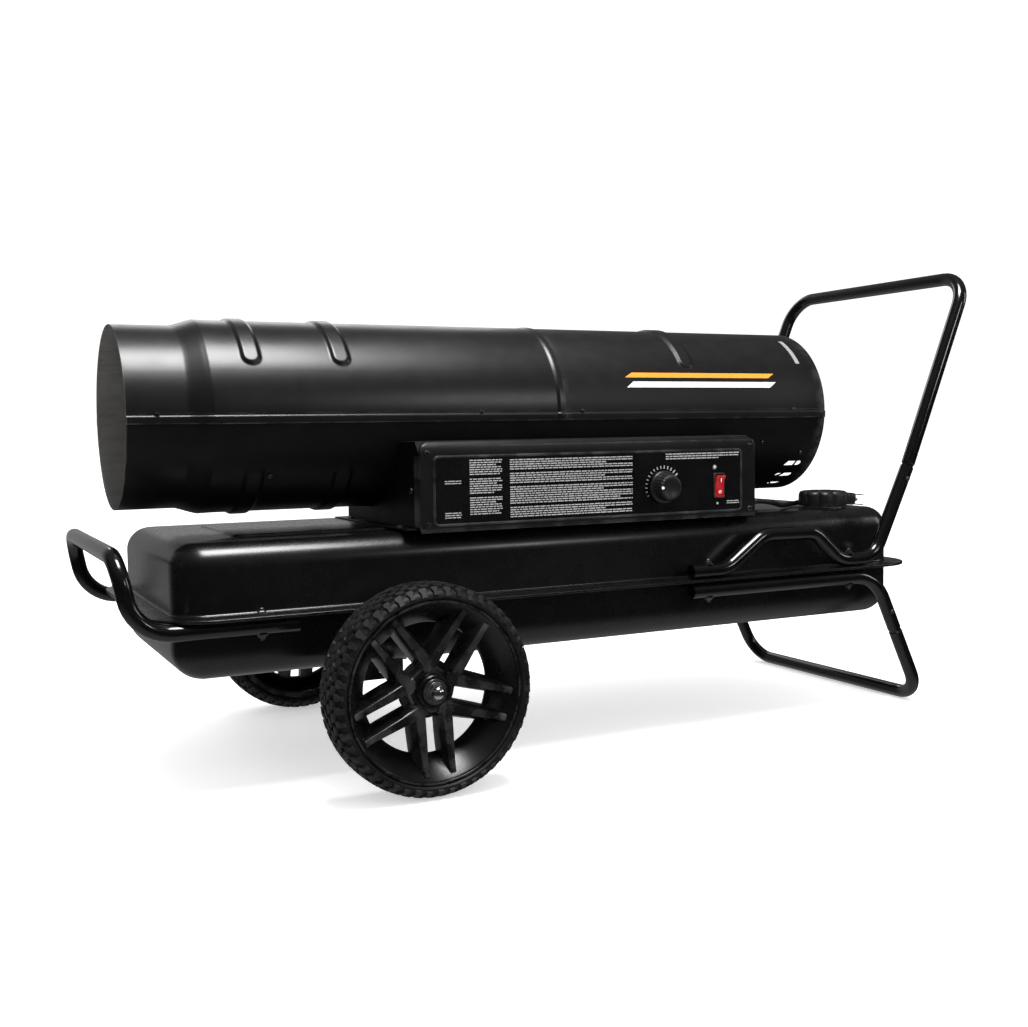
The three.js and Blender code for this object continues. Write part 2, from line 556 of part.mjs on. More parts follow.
function controlsGroup() {
  const group = new THREE.Group();
  const outside = COVER.face - COVER.thickness;
  const labelBack = outside - GAP;
  const labelFace = labelBack - LABEL.thickness;
  group.add(named("base_housing", housingGeometry(), satinBlack()));
  group.add(named("side_cover", cut(coverGeometry(), ...controlHoles()), satinBlack()));
  const label = box(LABEL.left, LABEL.right, labelFace, labelBack, LABEL.bottom, LABEL.top);
  group.add(named("label_plate", cut(label, ...controlHoles()), paint(0x08080a, 0.12)));

  const knobBack = labelFace - GAP - 0.5;
  const knobFace = knobBack - KNOB.depth;
  const knob = latheY([
    [knobFace, 0], [knobFace, KNOB.radius - 2.5], [knobFace + 2, KNOB.radius - 1], [knobBack - 4, KNOB.radius],
    [knobBack, KNOB.radius + 1.5], [knobBack, KNOB.stemRadius + GAP], [knobFace + 6, KNOB.stemRadius + GAP],
    [knobFace + 6, 0],
  ], 22);
  const pointer = box(-KNOB.radius + 2, -4, knobFace - 1.5, knobFace + 2, -1.5, 1.5);
  group.add(named("thermostat_knob", join(knob, pointer), mattPlastic(), [KNOB.x, 0, KNOB.z]));
  const stem = latheY(rodProfile(knobFace + 6 + GAP, COVER.face + 12, KNOB.stemRadius), 12);
  group.add(named("thermostat_stem", stem, bareSteel(), [KNOB.x, 0, KNOB.z]));
  const bulb = latheY([
    [COVER.face + 2, 18], [COVER.face + 22, 18], [COVER.face + 22, 0], [COVER.face + 12.5, 0],
    [COVER.face + 12.5, KNOB.stemRadius + 0.1], [COVER.face + 2, KNOB.stemRadius + 0.1], [COVER.face + 2, 18],
  ], 16);
  group.add(named("thermostat", bulb, paint(0xc9c2ae, 0.5), [KNOB.x, 0, KNOB.z]));

  const { x, z, width, height, rockerWidth, rockerHeight } = SWITCH;
  const frame = join(
    box(x - width / 2, x + width / 2, labelFace - GAP - 1.8, labelFace - GAP, z - height / 2, z + height / 2),
    box(x - width / 2 + 1.3, x + width / 2 - 1.3, labelFace - 1, -130, z - height / 2 + 1.3, z + height / 2 - 1.3),
  );
  const well = box(
    x - rockerWidth / 2 - 0.15, x + rockerWidth / 2 + 0.15, labelFace - 10, COVER.face + 8,
    z - rockerHeight / 2 - 0.35, z + rockerHeight / 2 + 0.35,
  );
  group.add(named("switch_frame", cut(frame, well), mattPlastic()));
  const rocker = rockerGeometry().rotateX(THREE.MathUtils.degToRad(SWITCH.tilt));
  group.add(named("rocker", rocker, paint(0xb01018, 0.25), [x, labelFace - 1.2, z]));
  const lamp = latheY([
    [labelFace - 1.6, 0], [labelFace - 1, LAMP.radius - 0.8], [labelFace - 0.4, LAMP.radius], [COVER.face + 8, LAMP.radius],
    [COVER.face + 8, 0],
  ], 10);
  group.add(named("indicator_lamp", lamp, paint(0x9fa3a0, 0.2), [LAMP.x, 0, LAMP.z]));

  const board = join(
    box(-70, 10, -143, -141.4, 258, 318),
    box(-60, -40, -141.8, -128, 268, 292),
    box(-30, -12, -141.8, -132, 296, 312),
  );
  group.add(named("circuit_board", board, paint(0x1f5a36, 0.6)));
  group.add(named("ignition_transformer", box(-180, -110, -140, -100, 250, 296), paint(0x2a2a2c, 0.6)));
  return group;
}

function fuelLineGroup() {
  const group = new THREE.Group();
  const nozzleSide = -5.5;
  const line = bentTube([
    [FUEL_LINE_X, FUEL_LINE_Y, 186], [FUEL_LINE_X, FUEL_LINE_Y, BARREL.z, 14], [FUEL_LINE_X, nozzleSide, BARREL.z],
  ], 3, 8);
  group.add(named("fuel_line", line, copperTube()));
  const pickup = latheZ([
    [TANK.bottom + 4, 0], [TANK.bottom + 4, 9], [TANK.bottom + 44, 9], [TANK.bottom + 50, 5], [185.6, 5], [185.6, 0],
  ], 12);
  group.add(named("fuel_pickup", pickup, mattPlastic(), [FUEL_LINE_X, FUEL_LINE_Y, 0]));
  return group;
}

// ---------------------------------------------------------------- cord

// The plug points along +X from its cord end, with one flat blade above the other.
function plugGeometry() {
  const { length: face, halfHeight, bladeLength, bladeGap, groundOffset } = PLUG;
  const neck = latheX([[0, 0], [0, 5], [10, 6.5], [26, 7], [26, 0]], 10);
  const body = box(12, face, -8, 15, -halfHeight, halfHeight);
  const blade = (side) => box(
    face - 1, face + bladeLength, -3, 3, (side * bladeGap) / 2 - 0.75, (side * bladeGap) / 2 + 0.75,
  );
  const ground = latheX(rodProfile(face - 1, face + bladeLength + 2.5, 2.4), 8).translate(0, groundOffset, 0);
  return join(neck, body, blade(-1), blade(1), ground);
}

function cordGroup() {
  const group = new THREE.Group();
  const [startX, startY, startZ] = CORD.route[0];
  const wall = HOUSING.rear;
  const relief = latheX([
    [wall - 6, 0], [wall - 6, 6.5], [wall - 2, 6.5], [wall - 2, 4.6], [wall + GAP, 4.6], [wall + GAP, 7.5],
    [wall + 4, 7.5], [startX - GAP, 4.2], [startX - GAP, 0],
  ], 12).translate(0, startY, startZ);
  group.add(named("strain_relief", relief, mattPlastic()));
  const stations = CORD.route.map(([x, y, z]) => new THREE.Vector3(x, y, z));
  group.add(named("power_cord", sweep(stations, CORD.radius, CORD.sides), rubber()));
  const plug = named("power_plug", plugGeometry(), mattPlastic(), [PLUG.x, PLUG.y, PLUG.z]);
  plug.rotation.y = THREE.MathUtils.degToRad(PLUG.droop);
  group.add(plug);
  return group;
}

// ---------------------------------------------------------------- handles and leg

const UPPER_TUBE_Z = FLANGE_TOP + GAP + TUBE.radius;
const LOWER_TUBE_Z = FLANGE_BOTTOM - GAP - TUBE.radius;

function frontHandle() {
  const { barX, barZ, y, end } = FRONT_HANDLE;
  const side = (s) => [[end, s * y, LOWER_TUBE_Z], [FRONT_HANDLE.kneeX, s * y, LOWER_TUBE_Z, 42]];
  const corners = [...side(-1), [barX, -y, barZ, 30], [barX, y, barZ, 30], ...side(1).reverse()];
  return bentTube(corners);
}

function rearHandleLower(side) {
  const y = side * REAR_HANDLE.y;
  const low = UPPER_TUBE_Z;
  const { humpZ: high, jointX, jointZ } = REAR_HANDLE;
  return bentTube([
    [94, y, low], [142, y, low, 40], [194, y, high + 1, 30], [268, y, high, 30], [307, y, low, 34],
    [359, y, low, 34], [jointX, y, jointZ],
  ]);
}

function rearHandleUpper() {
  const { y, barX, barZ, jointX, jointZ } = REAR_HANDLE;
  const slope = (barX - jointX) / (barZ - jointZ);
  const start = (s) => [jointX + slope * 2 * GAP, s * y, jointZ + 2 * GAP];
  return bentTube([start(-1), [barX, -y, barZ, 38], [barX, y, barZ, 38], start(1)]);
}

// A point on the leg's straight side, at height z.
function legPoint(side, z) {
  const share = (LEG.z - z) / (LEG.z - TUBE.radius);
  return [LEG.kneeX + share * (LEG.footX - LEG.kneeX), side * LEG.y, z];
}

function legUpper(side) {
  const y = side * LEG.y;
  return bentTube([[LEG.start, y, LEG.z], [LEG.kneeX, y, LEG.z, 50], legPoint(side, LEG.jointZ)]);
}

function legLower() {
  const corner = (side) => [...legPoint(side, TUBE.radius), 34];
  const top = LEG.jointZ - GAP;
  return bentTube([legPoint(-1, top), corner(-1), corner(1), legPoint(1, top)]);
}

function handlesGroup() {
  const group = new THREE.Group();
  group.add(named("front_handle", frontHandle(), glossBlack()));
  group.add(named("rear_handle_left", rearHandleLower(-1), glossBlack()));
  group.add(named("rear_handle_right", rearHandleLower(1), glossBlack()));
  group.add(named("rear_handle_upper", rearHandleUpper(), glossBlack()));
  group.add(named("leg_left", legUpper(-1), glossBlack()));
  group.add(named("leg_right", legUpper(1), glossBlack()));
  group.add(named("leg_lower", legLower(), glossBlack()));
  return group;
}

// ---------------------------------------------------------------- wheels and axle

function tyreGeometry() {
  const { radius, halfWidth: w, bead, seat, sides } = WHEEL;
  return latheY([
    [-w + 6, seat], [-w + 6, bead + 0.5], [-w, bead + 2], [-w, 96], [-w + 6, radius], [w - 6, radius],
    [w, 96], [w, bead + 2], [w - 6, bead + 0.5], [w - 6, seat], [-w + 6, seat],
  ], sides);
}

// Local +Y points away from the tank, on either wheel.
function rimGeometry() {
  const { bead, seat, halfWidth: w } = WHEEL;
  const ring = latheY([
    [-w + 2.5, bead], [-w + 5.7, bead], [-w + 5.7, seat - 2 * GAP], [w - 5.7, seat - 2 * GAP], [w - 5.7, bead], [w - 2.5, bead],
    [w - 2.5, seat - 5], [-w + 2.5, seat - 5], [-w + 2.5, bead],
  ], 24);
  const hub = latheY([[-AXLE.hubHalf, 0], [-AXLE.hubHalf, 15], [10, 18], [AXLE.hubHalf, 14], [AXLE.hubHalf, 0]], 12);
  const spokes = [];
  for (let pair = 0; pair < 5; pair += 1) {
    for (const offset of [-13, 13]) {
      const spoke = box(offset - 5.5, offset + 5.5, -7, 6, 9, 76);
      spoke.rotateX(THREE.MathUtils.degToRad(-10)).translate(0, 9, 0);
      spokes.push(spoke.rotateY((2 * Math.PI * pair) / 5 + WHEEL.spokePhase));
    }
  }
  const bore = latheY(rodProfile(-60, 60, AXLE.radius + 0.2), 24);
  return cut(join(ring, hub, ...spokes), bore);
}

function axleGroup() {
  const group = new THREE.Group();
  group.position.set(WHEEL.x, 0, WHEEL.radius);
  const reach = WHEEL.y + AXLE.hubHalf + 4;
  group.add(named("axle", latheY(rodProfile(-reach, reach, AXLE.radius), AXLE.sides), bareSteel()));
  for (const [side, name] of [[-1, "left"], [1, "right"]]) {
    const wheel = new THREE.Group();
    wheel.position.y = side * WHEEL.y;
    wheel.rotation.z = side < 0 ? Math.PI : 0;
    wheel.add(named(`rim_${name}`, rimGeometry(), mattPlastic()));
    wheel.add(named(`tyre_${name}`, tyreGeometry(), rubber()));
    const nut = latheY([
      [AXLE.hubHalf + 0.6, AXLE.radius + GAP], [AXLE.hubHalf + 0.6, 11], [AXLE.hubHalf + 2, 11],
      [AXLE.hubHalf + 2, 9], [AXLE.hubHalf + 7, 8.4], [AXLE.nutEnd - WHEEL.y - 1.4, 5],
      [AXLE.nutEnd - WHEEL.y, 0], [AXLE.hubHalf + 4.4, 0], [AXLE.hubHalf + 4.4, AXLE.radius + GAP],
      [AXLE.hubHalf + 0.6, AXLE.radius + GAP],
    ], 14);
    wheel.add(named(`axle_nut_${name}`, nut, bareSteel()));
    group.add(wheel);
    const lift = TANK.bottom - GAP - WHEEL.radius;
    const plate = box(-22, 22, -2, 2, -12, lift);
    const foot = box(-22, 22, -12, 12, lift - 2.5, lift);
    const hole = latheY(rodProfile(-20, 20, AXLE.radius + GAP), AXLE.sides);
    const bracket = cut(join(plate, foot), hole);
    group.add(named(`axle_bracket_${name}`, bracket, satinBlack(), [0, side * 95, 0]));
  }
  return group;
}

// ---------------------------------------------------------------- the whole heater

const heater = new THREE.Group();
heater.add(
  tankGroup(), fuelCapGroup(), barrelGroup(), controlsGroup(), fuelLineGroup(), cordGroup(), handlesGroup(),
  axleGroup(),
);

export default heater;
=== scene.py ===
# Forced-air kerosene heater on a wheeled tank. Lengths are in millimetres until a mesh is made.
import math
import random

import bmesh
import bpy
from mathutils import Matrix, Vector


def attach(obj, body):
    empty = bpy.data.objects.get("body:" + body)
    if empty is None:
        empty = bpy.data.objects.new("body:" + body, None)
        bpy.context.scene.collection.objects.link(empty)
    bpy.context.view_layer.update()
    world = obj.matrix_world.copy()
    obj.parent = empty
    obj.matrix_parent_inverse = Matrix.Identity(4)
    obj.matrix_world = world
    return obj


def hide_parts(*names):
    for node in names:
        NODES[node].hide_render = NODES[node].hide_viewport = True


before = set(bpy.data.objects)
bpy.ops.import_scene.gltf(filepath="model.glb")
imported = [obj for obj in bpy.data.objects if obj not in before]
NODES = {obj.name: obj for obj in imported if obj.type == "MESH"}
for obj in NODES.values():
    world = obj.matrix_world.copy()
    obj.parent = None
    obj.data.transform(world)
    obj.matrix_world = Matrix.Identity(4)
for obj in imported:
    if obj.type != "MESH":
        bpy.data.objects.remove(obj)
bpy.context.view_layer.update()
MM = 0.001

# ---- driving sizes, as in the CAD

TANK = dict(front=-462, rear=413, half=142, corner=32, top=242.5, bottom=112.5, seam=174.5,
            top_fillet=24, bottom_fillet=30, wall=1.5, flange=1.5, side=28, nose=24, tail=20)
PANEL = dict(front=-392, rear=240, half=84, rise=2.5, corner=14, ramp=5)
BARREL = dict(z=361.8, front=-491.3, rear=338, radius=98.7, nose=92.4, nose_end=-433.5,
              cone_end=-411.3, wall=1.5, joint=-30)
FRONT_RIBS, REAR_RIB = (-369, -277), 144
RIB = dict(rise=2.4, half=10.5, ramp=3.6, angle=60)
SLOTS = ((308, 131), (306, 143.5), (308, 156))
HOUSING = dict(front=-222, rear=190, near=-148.5, far=68, top=334, bottom=245.3)
COVER = dict(bottom=240, bend=320, top=334, face=-150, lean=10, thick=1.2)
LABEL = dict(left=-206, right=169, bottom=251, top=317, back=-151.5, face=-152.0)
KNOB = dict(x=64, z=279, back=-152.8, face=-169.8)
SWITCH = dict(x=138.5, z=278.5, width=15, height=28, rocker=(12, 24.4), tilt=10)
LAMP = dict(x=133, z=299)
CAP = dict(x=340, y=-93, bottom=245.1, top=263.1, lobes=9)
TUBE = 8
WHEEL = dict(x=-244.8, y=214.2, radius=101.6, phase=-0.68)


def placed(name, data):
    """A new object of that name in the scene."""
    obj = bpy.data.objects.new(name, data)
    bpy.context.scene.collection.objects.link(obj)
    return obj


# ---- camera

EYE = (-0.682, -1.2674, 0.3469)
YAW, PITCH, ROLL = (math.radians(a) for a in (26.78, 4.06, -0.82))
forward = Vector((math.sin(YAW) * math.cos(PITCH), math.cos(YAW) * math.cos(PITCH), -math.sin(PITCH)))
level = Vector((math.cos(YAW), -math.sin(YAW), 0))
above = level.cross(forward)
right = math.cos(ROLL) * level + math.sin(ROLL) * above
up = -math.sin(ROLL) * level + math.cos(ROLL) * above
camera_data = bpy.data.cameras.new("camera")
camera_data.sensor_width = 36
camera_data.lens = 42.645
camera_data.clip_end = 60
camera = placed("camera", camera_data)
camera.matrix_world = Matrix.Translation(EYE) @ Matrix((right, up, -forward)).transposed().to_4x4()
bpy.context.scene.camera = camera

# ---- materials


class Nodes:
    """Short ways to add the shader nodes that this script uses."""

    def __init__(self, tree):
        self.new, self.link = tree.nodes.new, tree.links.new

    def feed(self, value, socket):
        """Links an output to a socket, or sets the number or colour that it holds."""
        if isinstance(value, tuple):
            socket.default_value = (*value, 1)
        elif isinstance(value, (int, float)):
            socket.default_value = value
        else:
            self.link(value, socket)

    def fill(self, node, values):
        """Feeds several inputs of a node, each by its name."""
        for socket, value in values.items():
            self.feed(value, node.inputs[socket])

    def noise(self, coords, scale, detail=3, rough=0.5):
        node = self.new("ShaderNodeTexNoise")
        self.fill(node, {"Vector": coords, "Scale": scale, "Detail": detail, "Roughness": rough})
        return node.outputs["Fac"]

    def ranged(self, value, low, high, out_low, out_high):
        node = self.new("ShaderNodeMapRange")
        self.fill(node, {"From Min": low, "From Max": high, "To Min": out_low, "To Max": out_high, "Value": value})
        return node.outputs["Result"]

    def maths(self, operation, a, b):
        node = self.new("ShaderNodeMath")
        node.operation = operation
        for value, socket in zip((a, b), node.inputs):
            self.feed(value, socket)
        return node.outputs[0]

    def blended(self, factor, a, b):
        node = self.new("ShaderNodeMix")
        node.data_type = "RGBA"
        self.fill(node, {"Factor": factor, "A": a, "B": b})
        return node.outputs["Result"]

    def bump(self, height, depth, below=None):
        node = self.new("ShaderNodeBump")
        self.fill(node, {"Distance": depth * MM, "Height": height})
        if below:
            self.link(below, node.inputs["Normal"])
        return node.outputs["Normal"]


def node_material(name):
    mat = bpy.data.materials.new(name)
    mat.use_nodes = True
    return mat, Nodes(mat.node_tree), mat.node_tree.nodes["Principled BSDF"]


EDGE_TONE_SPAN = 0.07  # how far above its threshold the pointiness of an edge takes the full edge colour: worn paint on most finishes, a painted glint on the tyre
DUST = (0.2, 0.19, 0.18)


def surface(name, color, rough, metal=0.0, coat=0.0, coat_rough=0.1, grain=900, grain_depth=0.02, wave=0.0,
            vary=0.12, shade=0.25, edge=None, edge_from=0.53, dust=0.0, stretch=None, specular=0.5, streak=None):
    """A finish with grain bump, uneven roughness and colour, lighter edges (worn paint, and on the tyre a painted
    glint) and settled dust.
    """
    mat, n, shader = node_material(name)
    coords = fine = n.new("ShaderNodeTexCoord").outputs["Object"]
    if stretch:
        mapping = n.new("ShaderNodeMapping")
        mapping.inputs["Scale"].default_value = stretch
        n.link(coords, mapping.inputs["Vector"])
        fine = mapping.outputs["Vector"]
    broad, patch = n.noise(coords, 9, 5, 0.6), n.noise(coords, 55, 4, 0.6)
    uneven = n.maths("ADD", n.maths("MULTIPLY", broad, 0.6), n.maths("MULTIPLY", patch, 0.4))
    spread = vary * rough
    roughness = n.ranged(uneven, 0.3, 0.7, max(rough - spread, 0.02), min(rough + spread, 1))
    dark = tuple(c * (1 - shade) for c in color)
    light = tuple(min(1, c * (1 + shade) + 0.0004) for c in color)
    tint = n.blended(n.ranged(uneven, 0.35, 0.65, 0, 1), dark, light)
    if streak:
        scale, strength = streak
        tint = n.blended(n.ranged(n.noise(fine, scale, 2), 0.4, 0.62, 0, strength), tint, light)
    # Pointy edges take the edge colour: worn paint on most finishes, a painted glint on the tyre's tread edges.
    if edge:
        rim = n.ranged(n.new("ShaderNodeNewGeometry").outputs["Pointiness"], edge_from, edge_from + EDGE_TONE_SPAN, 0, 1)
        wear_and_glint = n.maths("MULTIPLY", rim, n.ranged(patch, 0.42, 0.6, 0.1, 0.9))
        tint = n.blended(wear_and_glint, tint, edge)
        roughness = n.maths("ADD", roughness, n.maths("MULTIPLY", wear_and_glint, 0.12))
    if dust:
        normal = n.new("ShaderNodeSeparateXYZ")
        n.link(n.new("ShaderNodeNewGeometry").outputs["Normal"], normal.inputs[0])
        facing = n.ranged(normal.outputs["Z"], 0.55, 1.0, 0, 1)
        lying = n.maths("MULTIPLY", facing, n.ranged(patch, 0.35, 0.7, 0, dust))
        tint = n.blended(lying, tint, DUST)
        roughness = n.maths("ADD", roughness, n.maths("MULTIPLY", lying, 1.5))
    n.fill(shader, {"Base Color": tint, "Roughness": roughness, "Metallic": metal, "Specular IOR Level": specular})
    if coat:
        n.fill(shader, {"Coat Weight": coat, "Coat Roughness": coat_rough})
    slow = n.bump(n.noise(coords, 14, 2, 0.4), wave) if wave else None
    n.link(n.bump(n.noise(fine, grain, 2, 0.6), grain_depth, slow), shader.inputs["Normal"])
    return mat


WORN, WORN_LIGHT = (0.03, 0.03, 0.032), (0.035, 0.035, 0.037)
BARREL_PAINT = surface("barrel_paint", (0.0014, 0.0014, 0.0016), 0.33, grain=1300, grain_depth=0.012, wave=0.16,
                       edge=WORN, dust=0.009, specular=0.6)
REAR_PAINT = surface("rear_shell_paint", (0.0018, 0.0018, 0.0019), 0.42, grain=1300, grain_depth=0.014, wave=0.16,
                     edge=WORN, dust=0.009, specular=0.45)
TANK_PAINT = surface("tank_paint", (0.0012, 0.0012, 0.0014), 0.27, grain=1100, grain_depth=0.003, wave=0.1, edge=WORN,
                     edge_from=0.57, dust=0.007, specular=0.6)
LOWER_PAINT = surface("lower_shell_paint", (0.0014, 0.0014, 0.0015), 0.42, grain=1300, grain_depth=0.014, wave=0.16,
                      edge=WORN, dust=0.009, specular=0.28)
HOUSING_PAINT = surface("housing_paint", (0.0012, 0.0012, 0.0013), 0.5, grain=1300, grain_depth=0.014, wave=0.1,
                        dust=0.006, specular=0.14)
COVER_PAINT = surface("cover_paint", (0.0018, 0.0018, 0.002), 0.34, grain=1500, grain_depth=0.02, wave=0.05,
                      edge=WORN_LIGHT, dust=0.009)
TUBE_PAINT = surface("tube_paint", (0.0012, 0.0012, 0.0013), 0.15, grain=900, grain_depth=0.008, wave=0.01,
                     edge=(0.02, 0.02, 0.021), edge_from=0.62, dust=0.01, specular=0.7)
INNER_STEEL = surface("inner_steel", (0.21, 0.205, 0.195), 0.42, metal=0.7, grain=500, grain_depth=0.01, vary=0.3,
                      shade=0.3, stretch=(0.15, 1, 1), streak=(240, 0.4))
HOT_STEEL = surface("hot_steel", (0.23, 0.2, 0.17), 0.45, metal=0.9, grain=500, grain_depth=0.02, vary=0.35,
                    shade=0.45, edge=(0.34, 0.3, 0.26))
ZINC = surface("zinc_steel", (0.42, 0.43, 0.44), 0.32, metal=0.95, grain=1400, grain_depth=0.012, vary=0.3, shade=0.2,
               edge=(0.6, 0.6, 0.6))
DARK_BOLT = surface("dark_bolt", (0.02, 0.02, 0.021), 0.26, metal=0.8, grain=1400, grain_depth=0.012, vary=0.3,
                    edge=(0.2, 0.2, 0.2))
CHROME = surface("chrome", (0.72, 0.71, 0.69), 0.12, metal=1.0, grain=1200, grain_depth=0.004, vary=0.5, shade=0.1)
CAST = surface("cast_aluminium", (0.4, 0.41, 0.42), 0.46, metal=0.85, grain=700, grain_depth=0.05, vary=0.25,
               edge=(0.6, 0.6, 0.6))
COPPER = surface("copper", (0.5, 0.25, 0.14), 0.32, metal=0.95, grain=900, grain_depth=0.01, vary=0.3, shade=0.35)
BRASS = surface("brass", (0.55, 0.4, 0.16), 0.3, metal=0.95, grain=900, grain_depth=0.01, vary=0.3)
BLACK_PLASTIC = surface("black_plastic", (0.004, 0.004, 0.0042), 0.4, grain=1800, grain_depth=0.035, vary=0.18,
                        edge=(0.04, 0.04, 0.04))
CREAM_PLASTIC = surface("cream_plastic", (0.5, 0.46, 0.36), 0.42, grain=1500, grain_depth=0.03, vary=0.2)
BOARD = surface("board_green", (0.02, 0.1, 0.045), 0.34, grain=800, grain_depth=0.02, vary=0.2, shade=0.4)
CERAMIC = surface("ceramic", (0.72, 0.7, 0.64), 0.16, grain=500, grain_depth=0.01, vary=0.2, shade=0.08)
MOTOR_PAINT = surface("motor_paint", (0.03, 0.03, 0.033), 0.38, metal=0.1, grain=900, grain_depth=0.03,
                      edge=(0.14, 0.14, 0.14))
# The tyre's lighter edge colour is a painted glint on the tread block edges.
RUBBER = surface("tyre_rubber", (0.004, 0.004, 0.0043), 0.5, grain=1500, grain_depth=0.06, vary=0.16, shade=0.35,
                 edge=(0.014, 0.014, 0.014), dust=0.01, specular=0.26)
CORD_RUBBER = surface("cord_rubber", (0.004, 0.004, 0.004), 0.46, grain=1800, grain_depth=0.03, vary=0.15)
RIM_PLASTIC = surface("rim_plastic", (0.0014, 0.0014, 0.0016), 0.26, grain=1500, grain_depth=0.025, wave=0.03,
                      vary=0.2, edge=WORN_LIGHT)
LABEL_FILM = surface("label_film", (0.0014, 0.0014, 0.0018), 0.22, grain=700, grain_depth=0.002, vary=0.2, coat=0.15,
                     coat_rough=0.1)
PRINT_GREY = surface("print_grey", (0.27, 0.27, 0.265), 0.4, grain=2200, grain_depth=0.004, vary=0.1, shade=0.12)
PRINT_WHITE = surface("print_white", (0.8, 0.8, 0.79), 0.35, grain=2200, grain_depth=0.004, vary=0.1, shade=0.05)
PRINT_ORANGE = surface("print_orange", (0.85, 0.26, 0.02), 0.35, grain=2200, grain_depth=0.004, vary=0.1, shade=0.12)


def clear_red():
    mat, n, shader = node_material("red_rocker")
    coords = n.new("ShaderNodeTexCoord").outputs["Object"]
    cloud = n.noise(coords, 160)
    tint = n.blended(n.ranged(cloud, 0.3, 0.7, 0, 1), (0.2, 0.002, 0.004), (0.34, 0.007, 0.011))
    gloss = n.ranged(cloud, 0.3, 0.7, 0.14, 0.24)
    n.fill(shader, {"Base Color": tint, "Roughness": gloss, "Coat Weight": 0.5, "Subsurface Weight": 0.3})
    shader.inputs["Subsurface Radius"].default_value = (0.004, 0.0008, 0.0008)
    n.link(n.bump(n.noise(coords, 900), 0.01), shader.inputs["Normal"])
    return mat


RED_ROCKER = clear_red()
LENS = surface("lamp_lens", (0.35, 0.37, 0.36), 0.12, grain=900, grain_depth=0.01, coat=0.8, coat_rough=0.05)

# ---- mesh tools


def circle(count):
    turns = (2 * math.pi * i / count for i in range(count))
    return [(math.cos(a), math.sin(a)) for a in turns]


def closed_mesh(name, verts, faces):
    """A mesh in metres, with its faces turned outward."""
    mesh = bpy.data.meshes.new(name)
    mesh.from_pydata([Vector(v) * MM for v in verts], [], faces)
    work = bmesh.new()
    work.from_mesh(mesh)
    bmesh.ops.recalc_face_normals(work, faces=work.faces)
    work.to_mesh(mesh)
    work.free()
    return mesh


class Build:
    """Gathers closed bodies into one piece. Each add() may carry its own material."""

    def __init__(self):
        self.verts, self.faces, self.slots, self.materials = [], [], [], []

    def add(self, shape, material, matrix=None):
        verts, faces = shape[:2]
        if material not in self.materials:
            self.materials.append(material)
        index, base = self.materials.index(material), len(self.verts)
        moved = [Vector(v) for v in verts] if matrix is None else [matrix @ Vector(v) for v in verts]
        self.verts += moved
        self.faces += [tuple(base + i for i in face) for face in faces]
        self.slots += [index] * len(faces)
        return self

    def piece(self, name, body="chassis", cad=(), angle=35, slot=None, bevel=None):
        mesh = closed_mesh(name, self.verts, self.faces)
        for material in self.materials:
            mesh.materials.append(material)
        mesh.polygons.foreach_set("material_index", self.slots)
        mesh.polygons.foreach_set("use_smooth", [True] * len(mesh.polygons))
        mesh.set_sharp_from_angle(angle=math.radians(angle))
        obj = placed(name, mesh)
        if bevel:
            rounding = obj.modifiers.new("rounding", "BEVEL")
            rounding.width = bevel * MM
            rounding.segments = 2
            rounding.limit_method = "ANGLE"
            rounding.angle_limit = math.radians(40)
            rounding.harden_normals = True
        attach(obj, body)
        if cad:
            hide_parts(*cad)
        return obj


def axis_matrix(axis, origin=(0, 0, 0), roll=0.0):
    """Turns local +Z to the axis and moves it to the origin."""
    turn = Vector(axis).normalized().to_track_quat("Z", "Y").to_matrix().to_4x4()
    return Matrix.Translation(Vector(origin)) @ turn @ Matrix.Rotation(roll, 4, "Z")


X_AXIS = Matrix.Rotation(math.pi / 2, 4, "Y")
OUT_NEAR = axis_matrix((0, -1, 0))


def lathe(profile, sides=48):
    """Turns (z, r) points about Z. A profile whose ends aren't on the axis is closed into a ring."""
    verts, faces, rings = [], [], []
    for z, r in profile:
        if r < 1e-6:
            rings.append([len(verts)])
            verts.append((0, 0, z))
        else:
            rings.append(list(range(len(verts), len(verts) + sides)))
            verts += [(r * c, r * s, z) for c, s in circle(sides)]
    open_ends = len(rings[0]) > 1 and len(rings[-1]) > 1
    pairs = list(zip(rings, rings[1:])) + ([(rings[-1], rings[0])] if open_ends else [])
    for a, b in pairs:
        for i in range(sides):
            j = (i + 1) % sides
            if len(a) > 1 and len(b) > 1:
                faces.append((a[i], b[i], b[j], a[j]))
            elif len(b) > 1:
                faces.append((a[0], b[i], b[j]))
            elif len(a) > 1:
                faces.append((a[i], b[0], a[j]))
    return verts, faces


def loft(rings, looped=False):
    """Joins rings of equal count. Its ends are capped, or joined to each other when looped."""
    count, total = len(rings[0]), len(rings)
    verts = [p for ring in rings for p in ring]
    faces = []
    for r in range(total if looped else total - 1):
        a, b = r * count, (r + 1) % total * count
        for i in range(count):
            j = (i + 1) % count
            faces.append((a + i, a + j, b + j, b + i))
    if not looped:
        faces += [tuple(range(count)), tuple((total - 1) * count + i for i in range(count))]
    return verts, faces


def prism(outline, low, high, inset=0.0):
    """Extrudes an (x, y) outline along Z, with its ends drawn in by a small chamfer."""
    if not inset:
        return loft([[(x, y, z) for x, y in outline] for z in (low, high)])
    count = len(outline)
    centre = Vector((sum(x for x, y in outline) / count, sum(y for x, y in outline) / count))
    reach = max((Vector(p) - centre).length for p in outline)
    small = [tuple(centre + (Vector(p) - centre) * (1 - inset / reach)) for p in outline]
    step = min(inset, (high - low) / 3)
    levels = ((small, low), (outline, low + step), (outline, high - step), (small, high))
    return loft([[(x, y, z) for x, y in ring] for ring, z in levels])


def block(x0, x1, y0, y1, z0, z1):
    return prism([(x0, y0), (x1, y0), (x1, y1), (x0, y1)], z0, z1)


